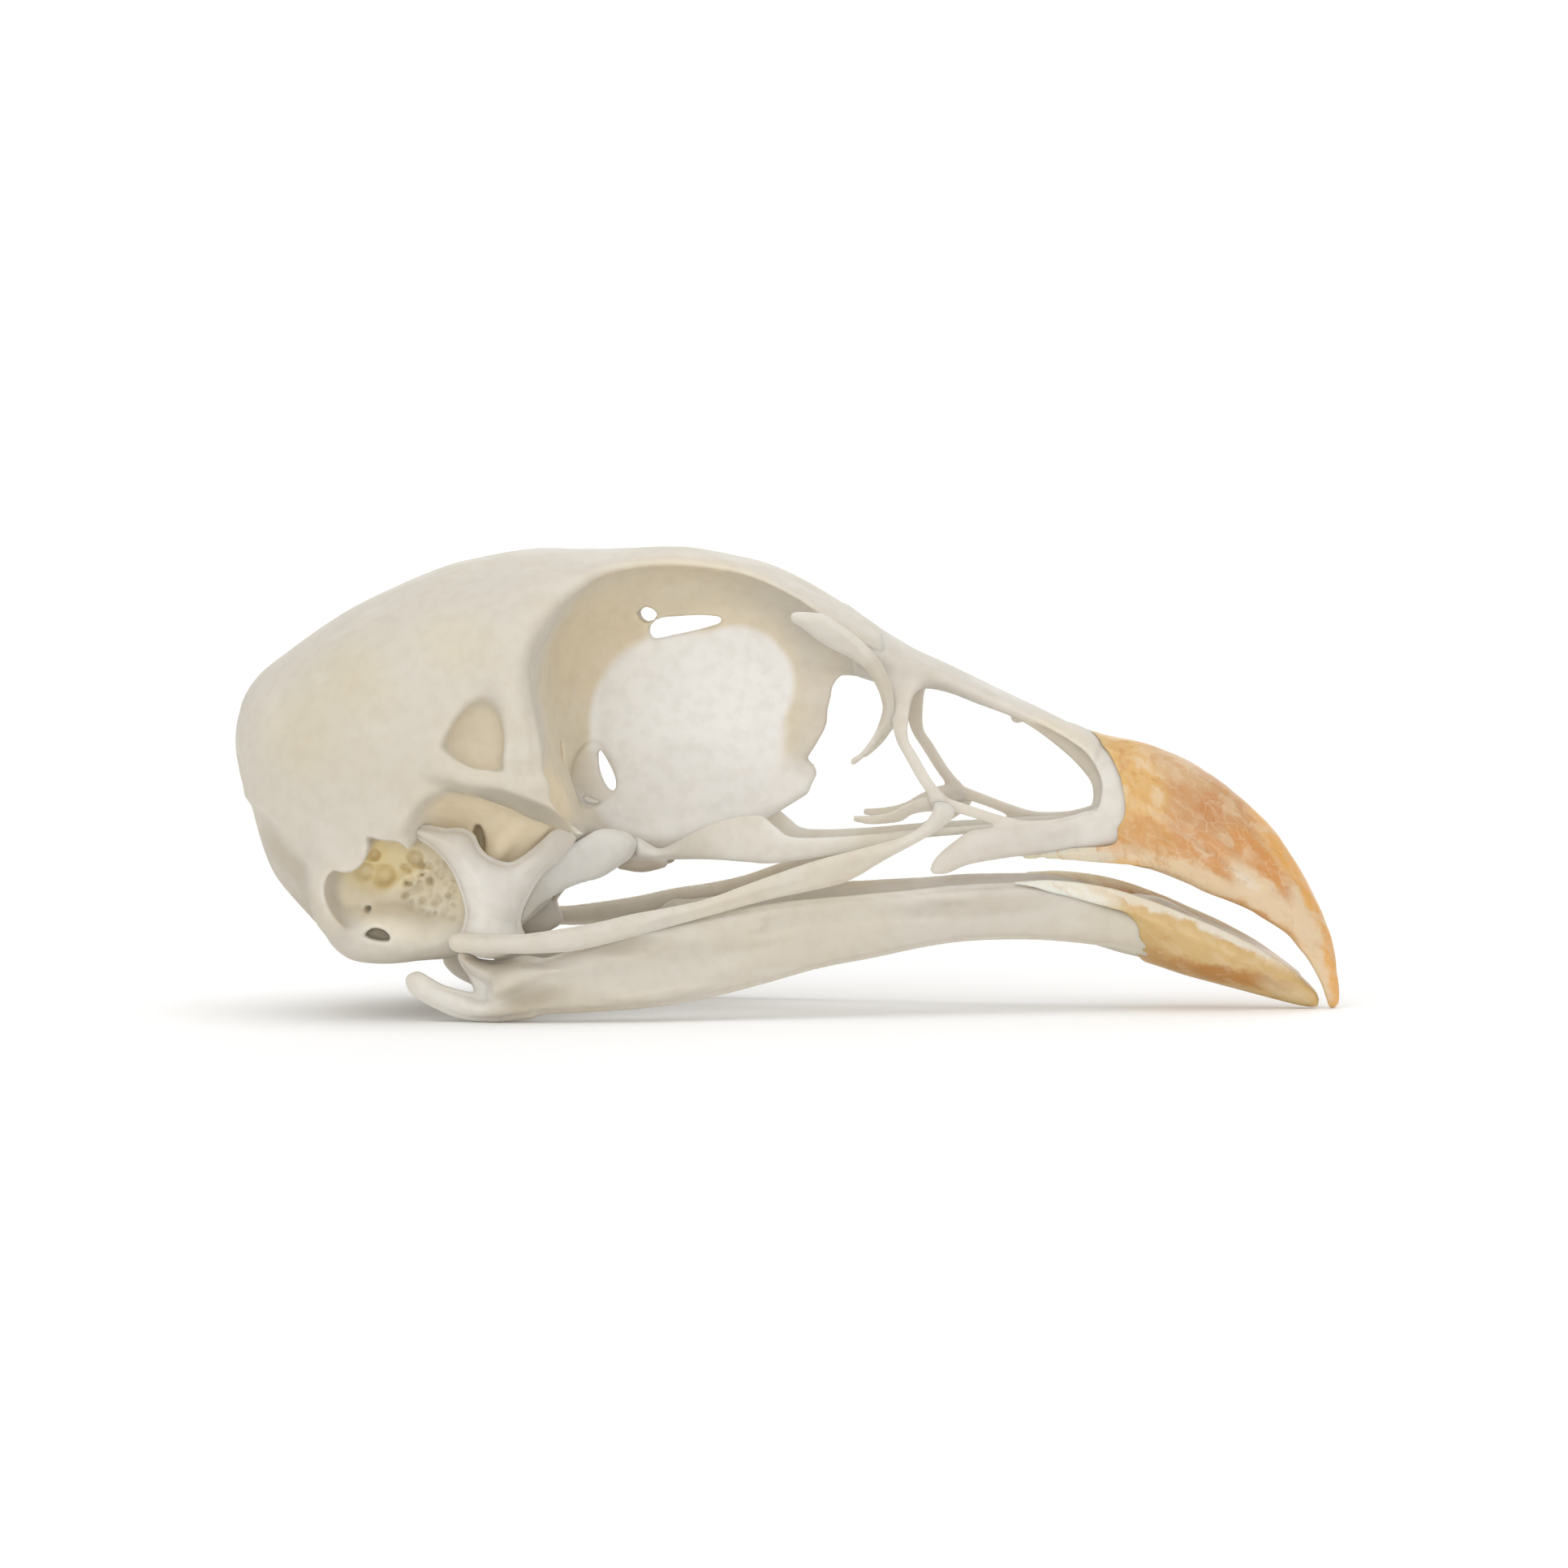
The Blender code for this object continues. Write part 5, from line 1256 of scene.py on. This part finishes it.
def bone_skin(name, stains_and_painted_light, body, warm):
    """Dry, cleaned bone: ivory, faintly mottled and grained, tan where it is thick with pores; its stains add
    painted shade where it is sunk, under its blades and on faces turned from the light, and painted light on
    thin parts.
    """
    skin = Skin(name, body)
    skin.lay(warm, skin.step(skin.noise(5.0, 4.0), 0.35, 0.7))
    # Stains, with painted shade and painted light among them
    for centre, radii, turn, soft, stain_or_painted_light, most in stains_and_painted_light:
        skin.lay(stain_or_painted_light, skin.near(centre, radii, turn, soft, most, ragged=False))
    grain = skin.noise(0.35, 5.0)
    skin.lay(DUSK, skin.step(grain, 0.4, 0.7, 0.0, 0.12))
    flecks = skin.noise(0.9, 3.0, (2.4, 1.0, 1.0))
    skin.lay(PALE, skin.step(flecks, 0.55, 0.75, 0.0, 0.16))
    skin.relief([(skin.noise(0.45, 6.0), 0.012), (skin.noise(2.0, 3.0), 0.03)])
    skin.waxy((1.0, 0.85, 0.7))
    skin.shader.inputs["Specular IOR Level"].default_value = 0.4
    return skin.finish(skin.step(skin.noise(1.2, 3.0), 0.3, 0.7, 0.42, 0.6))


UPPER_HORN_STAINS_AND_HIGHLIGHT = [
    ((21.6, 2.0, 10.0), (4.8, 3.5, 3.0), 42, 0.5, ROSE, 0.9),
    ((15.6, 2.0, 9.6), (3.4, 4.0, 6.2), -14, 0.3, AMBER, 1.0),
    ((17.6, 2.6, 8.5), (2.4, 2.0, 1.2), 15, 0.5, ORANGE, 0.5),
    ((19.4, 2.0, 12.2), (1.9, 2.0, 0.9), 28, 0.7, CREAM, 0.35),
    ((21.0, 2.6, 10.0), (0.7, 1.6, 0.9), 15, 0.9, RUST, 0.6),
    ((20.8, 2.8, 7.9), (1.8, 1.4, 0.7), 35, 0.5, ORANGE, 0.8),
    ((23.4, 2.4, 7.3), (2.4, 1.4, 0.7), 50, 0.4, ORANGE, 0.9),
    ((19.6, 3.0, 6.8), (4.0, 2.2, 0.6), 22, 0.5, CREAM, 0.85),
    ((23.6, 2.6, 5.5), (2.6, 2.0, 0.8), 45, 0.4, CREAM, 0.9),
    ((25.9, 1.4, 3.0), (0.8, 1.6, 3.6), -14, 0.4, CREAM, 0.9),
    ((20.6, 2.8, 8.0), (2.7, 1.6, 0.08), 37, 1.2, CRACK, 0.3),
    # Painted highlight near the bill's tip
    ((22.7, 2.4, 6.35), (0.7, 1.2, 0.25), 37, 1.0, GLASS, 0.45),
    ((24.7, 0.0, 7.6), (3.6, 2.4, 0.8), 54, 0.6, RIDGE, 1.0),
    ((25.9, 0.0, 5.5), (2.2, 2.0, 0.6), 66, 0.6, RIDGE, 0.9),
    ((26.7, 0.0, 3.2), (0.5, 2.0, 4.0), -10, 0.6, RIDGE, 0.9),
    ((13.2, 3.0, 7.7), (3.2, 1.0, 0.6), 0, 0.4, CLEAR, 1.0),
    ((17.2, 2.8, 8.6), (2.0, 1.6, 0.8), 0, 0.9, DARK_AMBER, 0.25),
]
LOWER_HORN_STAINS_AND_LIGHT = [
    ((12.9, 3.0, 6.1), (3.6, 1.6, 0.9), 12, 0.8, GLASS, 1.0),
    # Painted light on the far inner wall of the lower bill, which lies in shade
    ((18.6, 0.2, 5.1), (7.0, 1.6, 1.1), 27, 0.4, PAINTED_LIGHT_PEARL, 0.9),
    ((21.9, 2.0, 1.6), (3.3, 1.6, 0.5), 10, 0.9, UMBER, 0.85),
    ((18.6, 2.6, 2.4), (2.3, 1.4, 0.5), 14, 1.0, UMBER, 0.5),
    ((20.4, 2.6, 3.4), (3.4, 1.2, 0.6), 28, 1.0, PALE_OCHRE, 0.6),
    ((24.6, 1.4, 0.9), (1.6, 1.2, 0.5), 24, 0.8, STRAW, 0.4),
    ((17.0, 2.4, 5.72), (3.2, 1.8, 0.3), 22, 0.8, GLASS, 0.8),
    ((21.6, 1.7, 3.8), (3.6, 1.8, 0.32), 26, 0.7, GLASS, 0.9),
]
# Slant of the streaks at the horn's root and along the bill, and the root's centre, radii, turn and softness
ROOT_SLANT = -14
BILL_SLANT = 38
HORN_ROOT = ((15.8, 2.0, 9.6), (4.0, 4.0, 7.0), ROOT_SLANT, 0.5)


def horn_skin(name, stains_and_painted_light, body, warm, fibre, scaly):
    """Dry horn: clouded, streaked across at its root and along the bill, with flakes and fine cracks, and
    with a painted highlight and painted light among its stains.
    """
    skin = Skin(name, body)
    clouds = skin.noise(1.8, 5.0, (2.2, 1.0, 1.0), 35, True)
    skin.lay(warm, skin.step(clouds, 0.38, 0.68))
    # Stains, with a painted highlight and painted light among them
    for centre, radii, turn, soft, stain_or_painted_light, most in stains_and_painted_light:
        skin.lay(stain_or_painted_light, skin.near(centre, radii, turn, soft, most))
    root = skin.near(*HORN_ROOT)
    across = skin.noise(0.22, 6.0, (1.0, 1.0, 4.0), ROOT_SLANT, True)
    skin.lay(fibre, skin.times(skin.step(across, 0.5, 0.68, 0.0, scaly), root))
    skin.lay(CREAM, skin.times(skin.step(across, 0.46, 0.3, 0.0, scaly), root))
    along = skin.noise(0.2, 6.0, (5.0, 1.0, 1.0), BILL_SLANT, True)
    skin.lay(CREAM, skin.step(along, 0.5, 0.66, 0.0, 0.3))
    skin.lay(fibre, skin.step(along, 0.45, 0.3, 0.0, 0.25))
    flakes = skin.noise(0.42, 7.0, (1.7, 1.0, 1.0), BILL_SLANT, True)
    plates = skin.times(skin.step(flakes, 0.5, 0.6), skin.step(root, 0.0, 0.9, 1.0, 0.25))
    patches = skin.step(skin.noise(2.0, 3.0), 0.42, 0.6, scaly / 5, scaly)
    skin.lay(CREAM, skin.times(plates, patches))
    cracks = skin.cracks(0.7, 0.03, (1.8, 1.0, 1.0), 40)
    lines = skin.times(cracks, skin.step(skin.noise(1.6, 3.0), 0.45, 0.6))
    skin.lay(CREAM, skin.times(lines, scaly))
    skin.relief([(flakes, 0.05), (plates, 0.02), (across, 0.02), (along, 0.015)])
    skin.waxy((1.0, 0.6, 0.3))
    return skin.finish(skin.step(flakes, 0.3, 0.7, 0.34, 0.5))


def place_camera():
    """Camera where the photograph was taken from."""
    yaw, lift, roll = (math.radians(v) for v in (VIEW_YAW, VIEW_HEIGHT, VIEW_ROLL))
    back = Vector((math.sin(yaw) * math.cos(lift), -math.cos(yaw) * math.cos(lift), math.sin(lift)))
    level = Vector((math.cos(yaw), math.sin(yaw), 0.0))
    rise = back.cross(level)
    right = level * math.cos(roll) - rise * math.sin(roll)
    up = level * math.sin(roll) + rise * math.cos(roll)
    eye = (Vector(VIEW_TARGET) + back * VIEW_DISTANCE) * MM
    lens = bpy.data.cameras.new("camera")
    lens.sensor_width = SENSOR
    lens.lens = SENSOR * VIEW_DISTANCE / (PICTURE * MM_PER_PIXEL)
    lens.clip_start = 0.01
    lens.clip_end = 50.0
    camera = bpy.data.objects.new("camera", lens)
    turn = Matrix((right, up, back)).transposed().to_4x4()
    camera.matrix_world = Matrix.Translation(eye) @ turn
    bpy.context.scene.collection.objects.link(camera)
    bpy.context.scene.camera = camera


def light():
    """Soft white light from all around, and wide lamps."""
    world = bpy.data.worlds.new("studio")
    world.use_nodes = True
    sky = world.node_tree.nodes["Background"]
    sky.inputs["Color"].default_value = WHITE
    sky.inputs["Strength"].default_value = SKY
    bpy.context.scene.world = world
    bpy.context.scene.view_settings.view_transform = "Standard"
    for name, way, energy, angle in SUNS:
        sun = bpy.data.lights.new(name, "SUN")
        sun.energy = energy
        sun.angle = math.radians(angle)
        lamp = bpy.data.objects.new(name, sun)
        lamp.rotation_euler = (-Vector(way)).to_track_quat("-Z", "Y").to_euler()
        bpy.context.scene.collection.objects.link(lamp)


def lay_floor():
    """Pale floor under the skull."""
    bpy.ops.mesh.primitive_plane_add(size=FLOOR_SIZE, location=(0, 0, 0))
    floor = bpy.context.object
    floor.name = "floor"
    pale = bpy.data.materials.new("pale_floor")
    pale.use_nodes = True
    shader = pale.node_tree.nodes["Principled BSDF"]
    shader.inputs["Base Color"].default_value = FLOOR_TONE
    shader.inputs["Roughness"].default_value = 0.9
    shader.inputs["Specular IOR Level"].default_value = 0.1
    floor.data.materials.append(pale)


place_camera()
light()
lay_floor()
skull_bone = bone_skin("skull_bone", SKULL_STAINS_SHADE_AND_LIGHT, IVORY, WARM_IVORY)
jaw_bone = bone_skin("jaw_bone", JAW_STAINS_AND_SHADE, JAW_IVORY, WARM_IVORY)
thin_bone = bone_skin("thin_bone", THIN_STAINS_AND_SHADE, THIN_IVORY, WARM_IVORY)
upper_keratin = horn_skin("upper_keratin", UPPER_HORN_STAINS_AND_HIGHLIGHT, AMBER, ROSE, DARK_AMBER, 0.55)
lower_keratin = horn_skin("lower_keratin", LOWER_HORN_STAINS_AND_LIGHT, OCHRE, PALE_OCHRE, UMBER, 0.12)
done = []
for shape, node, slot, skin, clay in (
        ("cranium_bone", "cranium", "bone", skull_bone, cranium()),
        ("upper_jaw_bone", "upper_jaw", "bone", jaw_bone, upper_jaw()),
        ("mandible_bone", "mandible", "bone", jaw_bone, mandible()),
        ("upper_horn", "upper_beak_sheath", "upper_horn", upper_keratin, upper_sheath()),
        ("lower_horn", "lower_beak_sheath", "lower_horn", lower_keratin, lower_sheath())):
    done.append((symmetric(shape, clay), node, slot, skin))
for shape, skin, make in (("quadrate", jaw_bone, quadrate), ("pterygoid", thin_bone, pterygoid),
                          ("palatine", thin_bone, palatine), ("jugal_bar", thin_bone, jugal),
                          ("lacrimal", thin_bone, lacrimal)):
    for piece, side in zip(two_sides(shape + "_bone", make()), ("right_", "left_")):
        done.append((piece, side + shape, "bone", skin))
for piece, node, slot, skin in done:
    piece.data.materials.append(skin)
    if slot != "bone":
        piece.data.set_sharp_from_angle(angle=math.radians(HORN_SHARP_ANGLE))
    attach(piece, "root")
    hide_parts(node)
